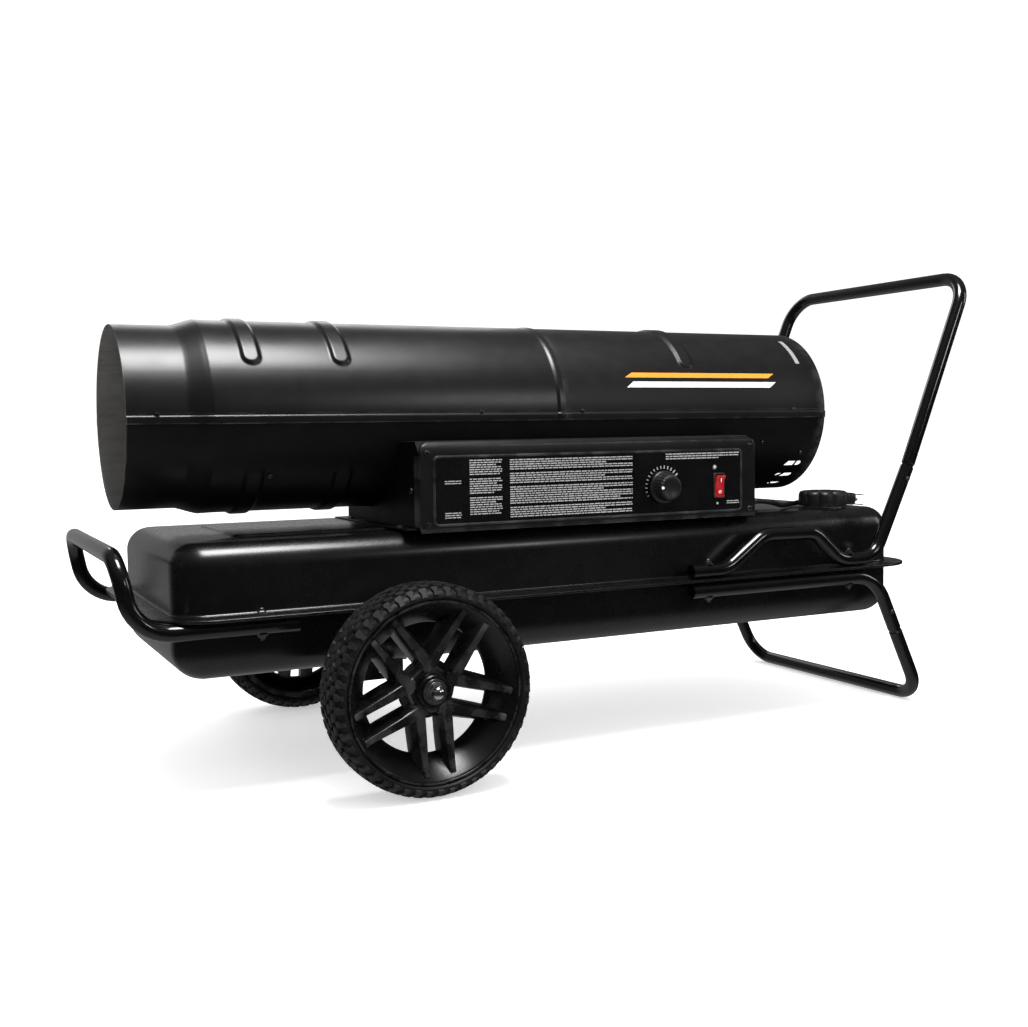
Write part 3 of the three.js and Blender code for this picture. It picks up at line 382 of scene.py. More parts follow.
def rounded_outline(x0, x1, y0, y1, radius, steps=6):
    points = []
    corners = ((x1 - radius, y1 - radius), (x0 + radius, y1 - radius),
               (x0 + radius, y0 + radius), (x1 - radius, y0 + radius))
    for quarter, (cx, cy) in enumerate(corners):
        for k in range(steps + 1):
            a = math.radians(90 * quarter + 90 * k / steps)
            points.append((cx + radius * math.cos(a), cy + radius * math.sin(a)))
    return points


HOLLOW_DEPTH = 7  # how far the open end of a tube can be seen into


def swept_tube(stations, radius, sides=20, scales=(), hollow=None):
    """Sweeps a round section along stations. scales maps a station number to a change of its radius."""
    scales = dict(scales)
    points = [Vector(p) for p in stations]
    last = len(points) - 1
    tangents = [(points[min(i + 1, last)] - points[max(i - 1, 0)]).normalized() for i in range(len(points))]
    side = tangents[0].orthogonal().normalized()
    rings = []
    for i, (p, t) in enumerate(zip(points, tangents)):
        side = (side - t * side.dot(t)).normalized()
        other = t.cross(side)
        r = radius * scales.get(i, 1)
        rings.append([tuple(p + r * (c * side + s * other)) for c, s in circle(sides)])
    if hollow:
        for index, inward in ((0, 1), (-1, -1)):
            p, t = points[index], tangents[index] * inward
            rim = [tuple(p + (Vector(v) - p) * hollow) for v in rings[index]]
            deep = [tuple(Vector(v) + t * HOLLOW_DEPTH) for v in rim]
            rings = [*rings, rim, deep] if index else [deep, rim, *rings]
    return loft(rings)


def bent(corners, steps=10):
    """Rounds the inner corners (x, y, z, bend radius) of a polyline."""
    points = [Vector(c[:3]) for c in corners]
    stations = [points[0]]
    for i in range(1, len(points) - 1):
        into = (points[i] - points[i - 1]).normalized()
        out = (points[i + 1] - points[i]).normalized()
        turn = into.angle(out)
        radius = corners[i][3]
        start = points[i] - into * radius * math.tan(turn / 2)
        centre = points[i] + (out - into).normalized() * radius / math.cos(turn / 2)
        spin = into.cross(out).normalized()
        for k in range(steps + 1):
            stations.append(centre + Matrix.Rotation(turn * k / steps, 3, spin) @ (start - centre))
    stations.append(points[-1])
    return stations


def smoothstep(t):
    t = max(0.0, min(1.0, t))
    return t * t * (3 - 2 * t)


def cut_away(obj, shape):
    """Subtracts a closed shape from a piece, with the result applied to its mesh."""
    cutter = placed("cutter", closed_mesh("cutter", *shape))
    modifier = obj.modifiers.new("cut", "BOOLEAN")
    modifier.operation = "DIFFERENCE"
    modifier.solver = "EXACT"
    modifier.object = cutter
    bpy.context.view_layer.update()
    result = bpy.data.meshes.new_from_object(obj.evaluated_get(bpy.context.evaluated_depsgraph_get()))
    obj.modifiers.remove(modifier)
    bpy.data.objects.remove(cutter)
    obj.data = result


# ---- cord

CORD_ROUTE = (
    (214.5, -120, 256), (222, -120, 255.7), (230, -119.2, 255), (238, -117.2, 253.9), (246, -113.8, 252.5),
    (254, -109, 251), (262, -103.3, 249.5), (270, -97, 248.2), (278, -90.5, 247.2), (286, -84, 246.5),
    (294, -77.8, 246.1), (302, -72, 246), (310, -66.9, 246), (318, -62.6, 246.1), (326, -59.2, 246.5),
    (334, -57.1, 247.3), (342, -56.2, 248.4), (350, -56, 249.7), (357, -56, 250.8), (364, -56, 251.6),
    (371, -56, 252.1), (378, -56, 252.2),
)
CORD_RADIUS = 3
PLUG_AT, PLUG_DROOP = Vector((378.6, -56, 252.2)), math.radians(6)
PLUG_SECTIONS = (  # place along the plug, half width, half height, sideways shift, roundness
    (0, 4.2, 4.2, 0, 1), (1, 5, 5, 0, 1), (4, 5.2, 5.2, 0, 1), (5.2, 4.6, 4.6, 0, 1), (7, 5.5, 5.5, 0, 1),
    (8.2, 4.8, 4.8, 0, 1), (10, 6, 5.9, 0, 1), (11.2, 5.2, 5.2, 0, 1), (13.5, 7, 6.6, 1, 0.9),
    (17, 9, 7.4, 2.2, 0.75), (24, 10.3, 7.8, 3, 0.6), (31, 9.9, 7.4, 3.2, 0.55), (35, 10.6, 7.9, 3.5, 0.5),
    (41.6, 11.2, 8, 3.5, 0.45), (43, 10.4, 7.2, 3.5, 0.45),
)
BLADE = dict(foot=42, tip=60.5, half_width=3, half_thick=0.75, half_gap=6.35)
GROUND_PIN_SHIFT = 11.9
RELIEF = dict(ribs=5, pitch=3.9, radius=6.6, taper=0.55, end=214.2)


def smooth_route(points, steps=4):
    """Passes a Catmull-Rom curve through the points."""
    p = [Vector(q) for q in points]
    p = [2 * p[0] - p[1], *p, 2 * p[-1] - p[-2]]
    out = []
    for i in range(1, len(p) - 2):
        for k in range(steps):
            t = k / steps
            a, b, c, d = p[i - 1:i + 3]
            square, cube = 2 * a - 5 * b + 4 * c - d, 3 * b - a - 3 * c + d
            out.append(0.5 * (2 * b + (c - a) * t + square * t * t + cube * t ** 3))
    return [*out, p[-2]]


def make_cord():
    route = smooth_route(CORD_ROUTE)
    curve = bpy.data.curves.new("power_cord_jacket", "CURVE")
    curve.dimensions = "3D"
    curve.bevel_depth = CORD_RADIUS * MM
    curve.bevel_resolution = 5
    curve.use_fill_caps = True
    spline = curve.splines.new("POLY")
    spline.points.add(len(route) - 1)
    for point, place in zip(spline.points, route):
        point.co = (*(place * MM), 1)
    cord = placed("power_cord_jacket", curve)
    curve.materials.append(CORD_RUBBER)
    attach(cord, "chassis")
    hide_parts("power_cord")

    turn = Matrix.Translation(PLUG_AT) @ Matrix.Rotation(PLUG_DROOP, 4, "Y")
    plug = Build()
    sections = [
        [(x, shift + wide * math.copysign(abs(c) ** power, c), high * math.copysign(abs(s) ** power, s))
         for c, s in circle(32)]
        for x, wide, high, shift, power in PLUG_SECTIONS]
    plug.add(loft(sections), CORD_RUBBER, turn)
    blade = rounded_outline(BLADE["foot"], BLADE["tip"], -BLADE["half_width"], BLADE["half_width"], 1.2, 4)
    for middle in (-BLADE["half_gap"], BLADE["half_gap"]):
        plug.add(prism(blade, middle - BLADE["half_thick"], middle + BLADE["half_thick"], 0.2), ZINC, turn)
    ground = lathe([(42, 0), (42, 2.4), (60.6, 2.4), (62.2, 1.8), (62.9, 0.9), (63, 0)], 20)
    plug.add(ground, ZINC, turn @ Matrix.Translation((0, GROUND_PIN_SHIFT, 0)) @ X_AXIS)
    shown_plug = plug.piece("cord_plug", cad=["power_plug"], angle=40, slot="cord_rubber")

    relief = Build()
    wall = HOUSING["rear"]
    profile = [(wall - 6, 0), (wall - 6, 6.5), (wall - 2, 6.5), (wall - 2, 4.6), (wall + 0.3, 4.6),
               (wall + 0.3, 7.4), (wall + 0.9, 8), (wall + 3, 8), (wall + 4, 7)]
    for k in range(RELIEF["ribs"]):
        start, radius = wall + 4.5 + k * RELIEF["pitch"], RELIEF["radius"] - k * RELIEF["taper"]
        profile += [(start, radius - 0.9), (start + 0.8, radius - 0.9), (start + 1.1, radius),
                    (start + 3.0, radius - 0.15), (start + 3.3, radius - 1.0)]
    profile += [(RELIEF["end"], 3.9), (RELIEF["end"], 0)]
    exit_at = Matrix.Translation((0, CORD_ROUTE[0][1], CORD_ROUTE[0][2]))
    relief.add(lathe(profile, 32), BLACK_PLASTIC, exit_at @ X_AXIS)
    relief.piece("cord_strain_relief", cad=["strain_relief"], slot="black_plastic")


make_cord()

# ---- fasteners


def recessed_head(radius=3.7, height=2.3):
    """A pan head with a cross recess, seated at z 0."""
    profile = [(-0.6, 0), (-0.6, radius), (0.5, radius), (height * 0.72, radius * 0.86), (height, radius * 0.5),
               (height, 0)]
    head = Build().add(lathe(profile, 28), ZINC)
    obj = head.piece("screw_template")
    arm, width = radius * 0.62, radius * 0.16
    for x, y in ((arm, width), (width, arm)):
        cut_away(obj, block(-x, x, -y, y, height - 1.1, height + 1))
    verts = [tuple(v.co / MM) for v in obj.data.vertices]
    faces = [tuple(p.vertices) for p in obj.data.polygons]
    bpy.data.objects.remove(obj)
    return verts, faces


SCREW = recessed_head()
HEX_HEAD = lathe([(0, 0), (0, 5.3), (3.4, 5.3), (4.1, 4.6), (4.1, 0)], 6)
WASHER = lathe([(0, 0), (0, 7.2), (1.1, 7.2), (1.3, 6.9), (1.3, 0)], 28)
STUD = lathe([(0, 0), (0, 2.9), (3.8, 2.9), (4.6, 2.2), (4.6, 0)], 16)


def fasteners(name, places, template=SCREW, scale=1.0, extra=()):
    """places are (point, outward direction); extra are (shape, height above the seat)."""
    build = Build()
    dice = random.Random(name)
    for point, outward in places:
        matrix = axis_matrix(outward, point, dice.uniform(0, math.pi)) @ Matrix.Scale(scale, 4)
        build.add(template, DARK_BOLT, matrix)
        for shape, lift in extra:
            build.add(shape, DARK_BOLT, matrix @ Matrix.Translation((0, 0, lift)))
    return build.piece(name, body="chassis", slot="zinc_steel", angle=32)


def on_barrel(x, angle):
    """A point on the barrel and its outward direction; the angle runs from the top to the near side."""
    a = math.radians(angle)
    out = Vector((0, -math.sin(a), math.cos(a)))
    return Vector((x, 0, BARREL["z"])) + out * barrel_radius(x, angle, True), out


# ---- barrel


def rib_height(x, angle, centre):
    """A pressed band with round ends, over the top or under the bottom."""
    arc = math.radians(abs(angle)) * BARREL["radius"]
    end = math.radians(RIB["angle"]) * BARREL["radius"] - RIB["half"]
    distance = math.hypot(x - centre, max(arc - end, 0))
    return RIB["rise"] * smoothstep((RIB["half"] - distance) / RIB["ramp"])


LEDGE = (89.7, 90.4)  # the fold along the upper shells' lower edges, in degrees from the top


def barrel_radius(x, angle, upper):
    b = BARREL
    cone = (x - b["nose_end"]) / (b["cone_end"] - b["nose_end"])
    r = b["nose"] + (b["radius"] - b["nose"]) * (0.35 * smoothstep(cone) + 0.65 * max(0.0, min(1.0, cone)))
    r += 0.4 * math.exp(-((x - b["cone_end"] - 1.5) / 1.8) ** 2)
    from_top = angle if upper else 180 - abs(angle)
    for centre in FRONT_RIBS if x < b["joint"] else ((REAR_RIB,) if upper else ()):
        r += rib_height(x, from_top, centre)
    if upper:
        r += 1.25 * smoothstep((abs(angle) - LEDGE[0]) / (LEDGE[1] - LEDGE[0]))
        if x < b["joint"] + 4:
            r += 1.2 * smoothstep((x - (b["joint"] - 7)) / 4)
    return r


def stops(low, high, coarse, fine, zones):
    """Numbers from low to high, close together inside the zones."""
    marks = {low, high}
    edges = sorted({low, high, *(min(max(e, low), high) for zone in zones for e in zone)})
    for a, b in zip(edges, edges[1:]):
        middle = (a + b) / 2
        step = fine if any(z[0] <= middle <= z[1] for z in zones) else coarse
        count = max(1, math.ceil((b - a) / step))
        marks |= {a + (b - a) * k / count for k in range(count + 1)}
    return sorted(marks)


def shell(x_stops, angles, upper):
    """The outer and inner points of a shell, and how many there are along and around."""
    layers = []
    for inward in (0, BARREL["wall"]):
        layers.append([])
        for x in x_stops:
            for angle in angles:
                a, r = math.radians(angle), barrel_radius(x, angle, upper) - inward
                layers[-1].append((x, -r * math.sin(a), BARREL["z"] + r * math.cos(a)))
    return *layers, len(x_stops), len(angles)


def add_shell(build, grid, outside, inside):
    outer, inner, nx, na = grid
    base = len(build.verts)
    build.verts += [Vector(v) for v in outer + inner]
    for material in (outside, inside):
        if material not in build.materials:
            build.materials.append(material)
    far = base + nx * na
    for i in range(nx - 1):
        for k in range(na - 1):
            a, b, c, d = i * na + k, (i + 1) * na + k, (i + 1) * na + k + 1, i * na + k + 1
            build.faces += [(base + a, base + b, base + c, base + d), (far + d, far + c, far + b, far + a)]
            build.slots += [build.materials.index(outside), build.materials.index(inside)]
    border = list(range(na)) + [i * na + na - 1 for i in range(1, nx)]
    border += [(nx - 1) * na + k for k in range(na - 2, -1, -1)] + [i * na for i in range(nx - 2, 0, -1)]
    for p, q in zip(border, border[1:] + border[:1]):
        build.faces.append((base + p, base + q, far + q, far + p))
        build.slots.append(build.materials.index(outside))


def make_barrel():
    b = BARREL
    rib_zones = [(c - 12, c + 12) for c in FRONT_RIBS]
    ends = [(-97, -83), (83, 97), (-63, -50), (50, 63)]
    nose_zones = [(b["front"], b["front"] + 6), (b["nose_end"] - 2, b["nose_end"] + 6),
                  (b["cone_end"] - 6, b["cone_end"] + 2)]

    folds = (s * (LEDGE[0] + 0.35 * k) for s in (1, -1) for k in range(3))
    arc = sorted({*stops(-94.6, 94.6, 3, 0.9, ends), *folds})
    front = Build()
    x_front = stops(b["front"], b["joint"] + 3, 16, 1.4, rib_zones + nose_zones + [(b["joint"] - 8, b["joint"] + 3)])
    add_shell(front, shell(x_front, arc, True), BARREL_PAINT, INNER_STEEL)
    front.piece("front_upper_shell", cad=["upper_shell_front"], slot="barrel_paint", angle=50)

    rear = Build()
    x_rear = stops(b["joint"] - 4, b["rear"], 16, 1.4, [(REAR_RIB - 12, REAR_RIB + 12)])
    *layers, count, around = shell(x_rear, arc, True)
    tucked = b["joint"] + 6  # the rear shell's front end goes in under the front shell
    for i, x in enumerate(x_rear):
        if x < tucked:
            for points in layers:
                for k in range(i * around, (i + 1) * around):
                    p = Vector(points[k])
                    out = Vector((0, p.y, p.z - b["z"])).normalized()
                    points[k] = tuple(p - out * 1.3 * smoothstep((tucked - x) / 3))
    add_shell(rear, (*layers, count, around), REAR_PAINT, INNER_STEEL)
    rear.piece("rear_upper_shell", cad=["upper_shell_rear"], slot="barrel_paint", angle=50)

    lower = Build()
    x_lower = stops(b["front"], b["rear"], 16, 1.4, rib_zones + nose_zones)
    angles = stops(88.5, 271.5, 3, 0.9, [(88.5, 92), (268, 271.5), (115, 130), (230, 245)])
    add_shell(lower, shell(x_lower, angles, False), LOWER_PAINT, INNER_STEEL)
    shell_piece = lower.piece("barrel_lower_shell", cad=["lower_shell"], slot="barrel_paint", angle=50)
    verts, faces = prism(rounded_outline(-13, 13, -4, 4, 3.9), 80, 115)
    for x, angle in SLOTS:
        for side in (1, -1):
            turn = Matrix.Translation((x, 0, b["z"])) @ Matrix.Rotation(math.radians(angle) * side, 4, "X")
            cut_away(shell_piece, ([turn @ Vector(v) for v in verts], faces))

    seam = [on_barrel(-487, -89.2)]
    seam += [on_barrel(x, 89.2 * side) for x in (-463, -129, -6, 290) for side in (1, -1)]
    fasteners("barrel_seam_screws", seam, scale=0.72)
    low_places = [(247.5, 112), (-353, 127), (-120, 124), (311, 121)]
    places = [on_barrel(x, a * side) for x, a in low_places for side in (1, -1)]
    fasteners("lower_shell_screws", places, scale=0.68)


make_barrel()

# ---- tank


def tank_ring(inset, z, steps=9):
    t = TANK
    grow = max(-inset, 0) / t["side"]
    x0 = t["front"] + max(inset, 0) - t["nose"] * grow
    x1 = t["rear"] - max(inset, 0) + t["tail"] * grow
    half = t["half"] - inset
    radius = max(t["corner"] - inset, 6)
    return [(x, y, z) for x, y in rounded_outline(x0, x1, -half, half, radius, steps)]


def panel_ring(shrink, z, steps=9):
    p = PANEL
    half, corner = p["half"] - shrink, max(p["corner"] - shrink, 4)
    outline = rounded_outline(p["front"] + shrink, p["rear"] - shrink, -half, half, corner, steps)
    return [(x, y, z) for x, y in outline]


def pan_rings(closed, fillet, side):
    t = TANK
    steps = 10
    rings = []
    if side > 0:
        for k in range(5, -1, -1):
            rings.append(panel_ring(PANEL["ramp"] * k / 5, closed + PANEL["rise"] * smoothstep(k / 5)))
    else:
        rings.append(panel_ring(0, closed))
    for k in range(steps + 1):
        a = math.pi / 2 * k / steps
        rings.append(tank_ring(fillet * (1 - math.sin(a)), closed - side * fillet * (1 - math.cos(a))))
    top, seam = t["seam"] + side * t["flange"], t["seam"] + side * 0.15
    for k in range(5):
        a = math.pi / 2 * k / 4
        rings.append(tank_ring(-2.5 * (1 - math.cos(a)), top + side * 2.5 * (1 - math.sin(a))))
    edge, depth = -t["side"], fillet - t["wall"]
    for inset, z in ((edge + 0.6, top), (edge + 0.15, top - side * 0.35), (edge, top - side * 0.85), (edge, seam),
                     (t["wall"], seam)):
        rings.append(tank_ring(inset, z))
    for k in (steps, steps // 2, 0):
        a = math.pi / 2 * k / steps
        inside = t["wall"] + depth * (1 - math.cos(a))
        rings.append(tank_ring(t["wall"] + depth * (1 - math.sin(a)), closed - side * inside))
    return rings


def make_tank():
    t = TANK
    upper = Build().add(loft(pan_rings(t["top"], t["top_fillet"], 1)), TANK_PAINT)
    top = upper.piece("tank_upper", cad=["tank_upper_pan"], slot="tank_paint", angle=40)
    verts, faces = lathe([(225, 0), (225, 20.3), (260, 20.3), (260, 0)], 48)
    cut_away(top, ([(x + CAP["x"], y + CAP["y"], z) for x, y, z in verts], faces))
    lower = Build().add(loft(pan_rings(t["bottom"], t["bottom_fillet"], -1)), TANK_PAINT)
    lower.piece("tank_lower", cad=["tank_lower_pan"], slot="tank_paint", angle=40)


make_tank()

# ---- handles and leg

UPPER_Z = TANK["seam"] + TANK["flange"] + 0.3 + TUBE
LOWER_Z = TANK["seam"] - TANK["flange"] - 0.3 - TUBE


def add_tube(name, corners, cad, necked=False):
    """A necked tube is narrower for a short way at both ends, where it goes into the next tube."""
    stations, scales = bent(corners), {}
    if necked:
        start, end = (stations[1] - stations[0]).normalized(), (stations[-2] - stations[-1]).normalized()
        head = [stations[0] + start * d for d in (0, 2.6, 3.6)]
        tail = [stations[-1] + end * d for d in (3.6, 2.6, 0)]
        stations = head + stations[1:-1] + tail
        last = len(stations) - 1
        scales = {0: 0.86, 1: 0.86, last - 1: 0.86, last: 0.86}
    build = Build().add(swept_tube(stations, TUBE, 24, scales, 0.8), TUBE_PAINT)
    return build.piece(name, cad=cad, slot="tube_paint", angle=40)


def make_handles():
    bar_x, bar_z, y, knee, end = -514.5, 236, 153, -501, -350
    front_y = y
    side = [[(end, s * y, LOWER_Z), (knee, s * y, LOWER_Z, 42)] for s in (-1, 1)]
    corners = [*side[0], (bar_x, -y, bar_z, 30), (bar_x, y, bar_z, 30), *side[1][::-1]]
    add_tube("front_handle_tube", corners, ["front_handle"])

    y, bar_x, bar_z, hump, joint_x, joint_z = 162, 508.6, 525, 219.5, 411.5, 292
    for s, label in ((-1, "left"), (1, "right")):
        corners = [(94, s * y, UPPER_Z), (142, s * y, UPPER_Z, 40), (194, s * y, hump + 1, 30),
                   (268, s * y, hump, 30), (307, s * y, UPPER_Z, 34), (359, s * y, UPPER_Z, 34),
                   (joint_x, s * y, joint_z)]
        add_tube(f"rear_tube_{label}", corners, [f"rear_handle_{label}"])
    slope = (bar_x - joint_x) / (bar_z - joint_z)
    start = [(joint_x + slope * 0.6, s * y, joint_z + 0.6) for s in (-1, 1)]
    corners = [start[0], (bar_x, -y, bar_z, 38), (bar_x, y, bar_z, 38), start[1]]
    add_tube("push_handle_tube", corners, ["rear_handle_upper"], necked=True)

    y, z, knee_x, foot_x, joint = 162, 162.5, 361, 435, 96

    def leg_point(s, height):
        share = (z - height) / (z - TUBE)
        return (knee_x + share * (foot_x - knee_x), s * y, height)

    for s, label in ((-1, "left"), (1, "right")):
        add_tube(f"leg_tube_{label}", [(94, s * y, z), (knee_x, s * y, z, 50), leg_point(s, joint)], [f"leg_{label}"])
    corners = [leg_point(-1, joint - 0.3), *((*leg_point(s, TUBE), 34) for s in (-1, 1)), leg_point(1, joint - 0.3)]
    add_tube("leg_foot_tube", corners, ["leg_lower"], necked=True)

    bolts_up, bolts_down, joints = [], [], []
    sunk, flat = TUBE - 0.6, TUBE - 0.4
    for s in (-1, 1):
        for x in (117, 320):
            bolts_up.append(((x, s * y, UPPER_Z + sunk), (0, 0, 1)))
            bolts_down.append(((x, s * y, z - sunk), (0, 0, -1)))
        bolts_up.append(((-385, s * front_y, TANK["seam"] + TANK["flange"]), (0, 0, 1)))
        bolts_down.append(((-385, s * front_y, LOWER_Z - sunk), (0, 0, -1)))
        for place in (leg_point(s, 118), (joint_x - 6, s * y, joint_z - 14)):
            joints.append((Vector(place) + Vector((0, s * flat, 0)), (0, s, 0)))
    nuts = ((WASHER, 0), (STUD, 3))
    fasteners("handle_bolts_upper", bolts_up, HEX_HEAD, 0.8, nuts)
    fasteners("handle_bolts_lower", bolts_down, HEX_HEAD, 0.8, nuts)
    fasteners("tube_joint_screws", joints, scale=0.75)


make_handles()

# ---- wheels

TREAD_PROFILE = ((0, 98.2), (8, 98.1), (15, 97.6), (20, 96.6), (23.6, 95.0), (25.8, 92.6), (26.5, 90.2))


def tread_point(u, s, height):
    """u runs round the tyre in mm at the tread, s across it from the middle along the profile."""
    rest, sign = abs(s), 1 if s >= 0 else -1
    for (y0, r0), (y1, r1) in zip(TREAD_PROFILE, TREAD_PROFILE[1:]):
        length = math.hypot(y1 - y0, r1 - r0)
        if rest <= length or (y1, r1) == TREAD_PROFILE[-1]:
            t = rest / length
            ny, nr = (r0 - r1) / length, (y1 - y0) / length
            y, r = y0 + (y1 - y0) * t + ny * height, r0 + (r1 - r0) * t + nr * height
            a = u / WHEEL["radius"]
            return (r * math.cos(a), r * math.sin(a), sign * y)
        rest -= length


def tread_block(outline, u, height, taper=0.9):
    """A knob with a drawn-in top; its foot is sunk a little into the carcass."""
    cu = sum(p[0] for p in outline) / len(outline)
    cs = sum(p[1] for p in outline) / len(outline)
    rings = []
    for lift, inset in ((-0.8, 0), (height - 0.5, taper * 0.5), (height, taper)):
        ring = []
        for pu, ps in outline:
            d = math.hypot(pu - cu, ps - cs)
            k = 1 - inset / max(d, 2)
            ring.append(tread_point(u + cu + (pu - cu) * k, cs + (ps - cs) * k, lift))
        rings.append(ring)
    return loft(rings)


def tyre_shape():
    build = Build()
    outer = [*TREAD_PROFILE[::-1], *((-y, r) for y, r in TREAD_PROFILE[1:])]
    bead = [(24.8, 88.2), (22.2, 86.9), (21.6, 84.5), (20.2, 83.0), (17, 82.9)]
    groove = [(26.4, 89.4), (25.9, 88.9)]
    profile = bead[::-1] + groove[::-1] + outer + [(-y, r) for y, r in groove + bead]
    inner = [(-17, 84.5), (-21.5, 90), (-18, 94), (0, 95), (18, 94), (21.5, 90), (17, 84.5)]
    build.add(lathe(profile + inner, 144), RUBBER)
    count = 50
    pitch = 2 * math.pi * WHEEL["radius"] / count
    centre = [(-4.9, -2.6), (-0.6, -3.3), (4.7, -1.2), (4.9, 2.6), (0.6, 3.3), (-4.7, 1.2)]
    middle = [(-4.6, -2.9), (1.8, -3.2), (4.9, -0.6), (4.6, 2.9), (-1.8, 3.2), (-4.9, 0.6)]
    lug = [(-4.6, -5.6), (2.2, -5.2), (4.4, -2.0), (2.9, 2.4), (3.3, 5.6), (-3.2, 5.6), (-2.8, 1.6), (-4.9, -1.2)]
    for i in range(count):
        u = i * pitch
        build.add(tread_block(centre, u, 3.2, 0.7), RUBBER)
        for s in (-1, 1):
            shift, odd = pitch * (0.5 if s > 0 else 0.42), i % 2
            build.add(tread_block([(a, 7.4 * s + b * s) for a, b in middle], u + shift, 3.2, 0.7), RUBBER)
            build.add(tread_block([(-a, 14.6 * s + b * s) for a, b in middle], u + shift * 0.16, 3.0, 0.7), RUBBER)
            width, out = (1, 24.2) if odd else (0.88, 23.1)
            shoulder = [(a * width, s * out + b * s) for a, b in lug]
            build.add(tread_block(shoulder, u + shift * 1.1, 2.4, 0.8), RUBBER)
    return build


RIM_SECTION = (
    (23.6, 86.9), (24.6, 86.2), (24.6, 84.9), (23.6, 84.2), (22.6, 84.1), (21.9, 83.2), (-1.5, 64.4),
    (-3.4, 63.2), (-5.6, 62.8), (-7.2, 63.4), (-7.2, 66.2), (10.5, 79.2), (-22.4, 79.2), (-24.5, 80.8),
    (-24.5, 86.2), (-23.6, 86.9), (-22.2, 86.6), (-20.8, 82.6), (20.8, 82.6), (22.2, 86.6),
)
HUB_SECTION = (
    (-20, 6.3), (-20, 14.2), (-19, 15), (-6, 16), (2, 19.5), (9, 19.5), (10.5, 18.6), (11, 16.4),
    (15.5, 15.4), (16.6, 14.2), (16.6, 13), (19.4, 12.4), (20, 11.8), (20, 6.3),
)
HUB_BACK = ((-7.2, 15.5), (-7.2, 27), (-3.8, 29), (-3.2, 29), (-3.2, 15.5))
SPOKE_SECTIONS = (  # distance from the axle, low, high, half width, half width of the crest, sideways shift
    (12, -6.8, 10.6, 8.4, 6.0, 13.8), (24, -6.8, 12.2, 9.0, 5.4, 14.4), (40, -6.9, 14.2, 8.6, 4.6, 14.3),
    (56, -6.9, 15.6, 7.8, 3.9, 14.0), (63.5, -6.4, 16.3, 7.2, 3.6, 13.8), (72, 4.0, 17.4, 5.6, 3.3, 13.5),
    (79.2, 15.5, 19.2, 3.9, 3.1, 13.3),
)


def rim_shape():
    build = Build()
    for section, sides in ((RIM_SECTION, 120), (HUB_SECTION, 48), (HUB_BACK, 60)):
        build.add(lathe(section, sides), RIM_PLASTIC)
    for pair in range(5):
        turn = Matrix.Rotation(-2 * math.pi * pair / 5 - WHEEL["phase"] - math.pi / 2 + math.pi, 4, "Z")
        for s in (-1, 1):
            rings = []
            for x, low, high, wide, crest, shift in SPOKE_SECTIONS:
                y, mid = s * shift, s * (shift * 0.4 + 13.3 * 0.6)
                shoulder = low + (high - low) * 0.45
                rings.append([
                    (x, y - wide, low), (x, y + wide, low), (x, y + wide * 0.9, shoulder),
                    (x, mid + crest, high - 0.9), (x, mid + crest * 0.8, high), (x, mid - crest * 0.8, high),
                    (x, mid - crest, high - 0.9), (x, y - wide * 0.9, shoulder),
                ])
            build.add(loft(rings), RIM_PLASTIC, turn)
        gusset = [(12, -9), (22, -8), (22, 8), (12, 9)]
        build.add(prism(gusset, -6.6, 6.5, 0.4), RIM_PLASTIC, turn)
    return build


def make_wheels():
    tyre, rim = tyre_shape(), rim_shape()
    for s, label in ((-1, "left"), (1, "right")):
        at = Matrix.Translation((WHEEL["x"], s * WHEEL["y"], WHEEL["radius"])) @ axis_matrix((0, s, 0))
        kinds = ((tyre, "tyre", RUBBER, "tyre_rubber"), (rim, "rim", RIM_PLASTIC, "rim_plastic"))
        for shape, name, material, slot in kinds:
            build = Build().add((shape.verts, shape.faces), material, at)
            build.piece(f"wheel_{name}_{label}", body=f"wheel_{label}", cad=[f"{name}_{label}"], slot=slot, angle=32)
        nut = Build()
        nut.add(lathe([(20.6, 6.4), (20.6, 9.6), (21, 10), (21.7, 10), (22, 9.7), (22, 6.4)], 40), DARK_BOLT, at)
        nut.add(lathe([(22.1, 0), (22.1, 8.6), (25.6, 8.6), (26.4, 7.9), (26.4, 0)], 6), CHROME, at)
        dome = [(26.0, 0), (26.0, 6.7), (27.6, 6.5), (29.4, 5.4), (30.6, 3.6), (31.2, 1.6), (31.3, 0)]
        nut.add(lathe(dome, 36), CHROME, at)
        nut.piece(f"dome_nut_{label}", cad=[f"axle_nut_{label}"], slot="chrome", angle=32)


make_wheels()

# ---- housing, cover and controls


def yz_extrude(outline, x0, x1):
    """Extrudes a closed (y, z) outline along X."""
    return loft([[(x, y, z) for y, z in outline] for x in (x0, x1)])


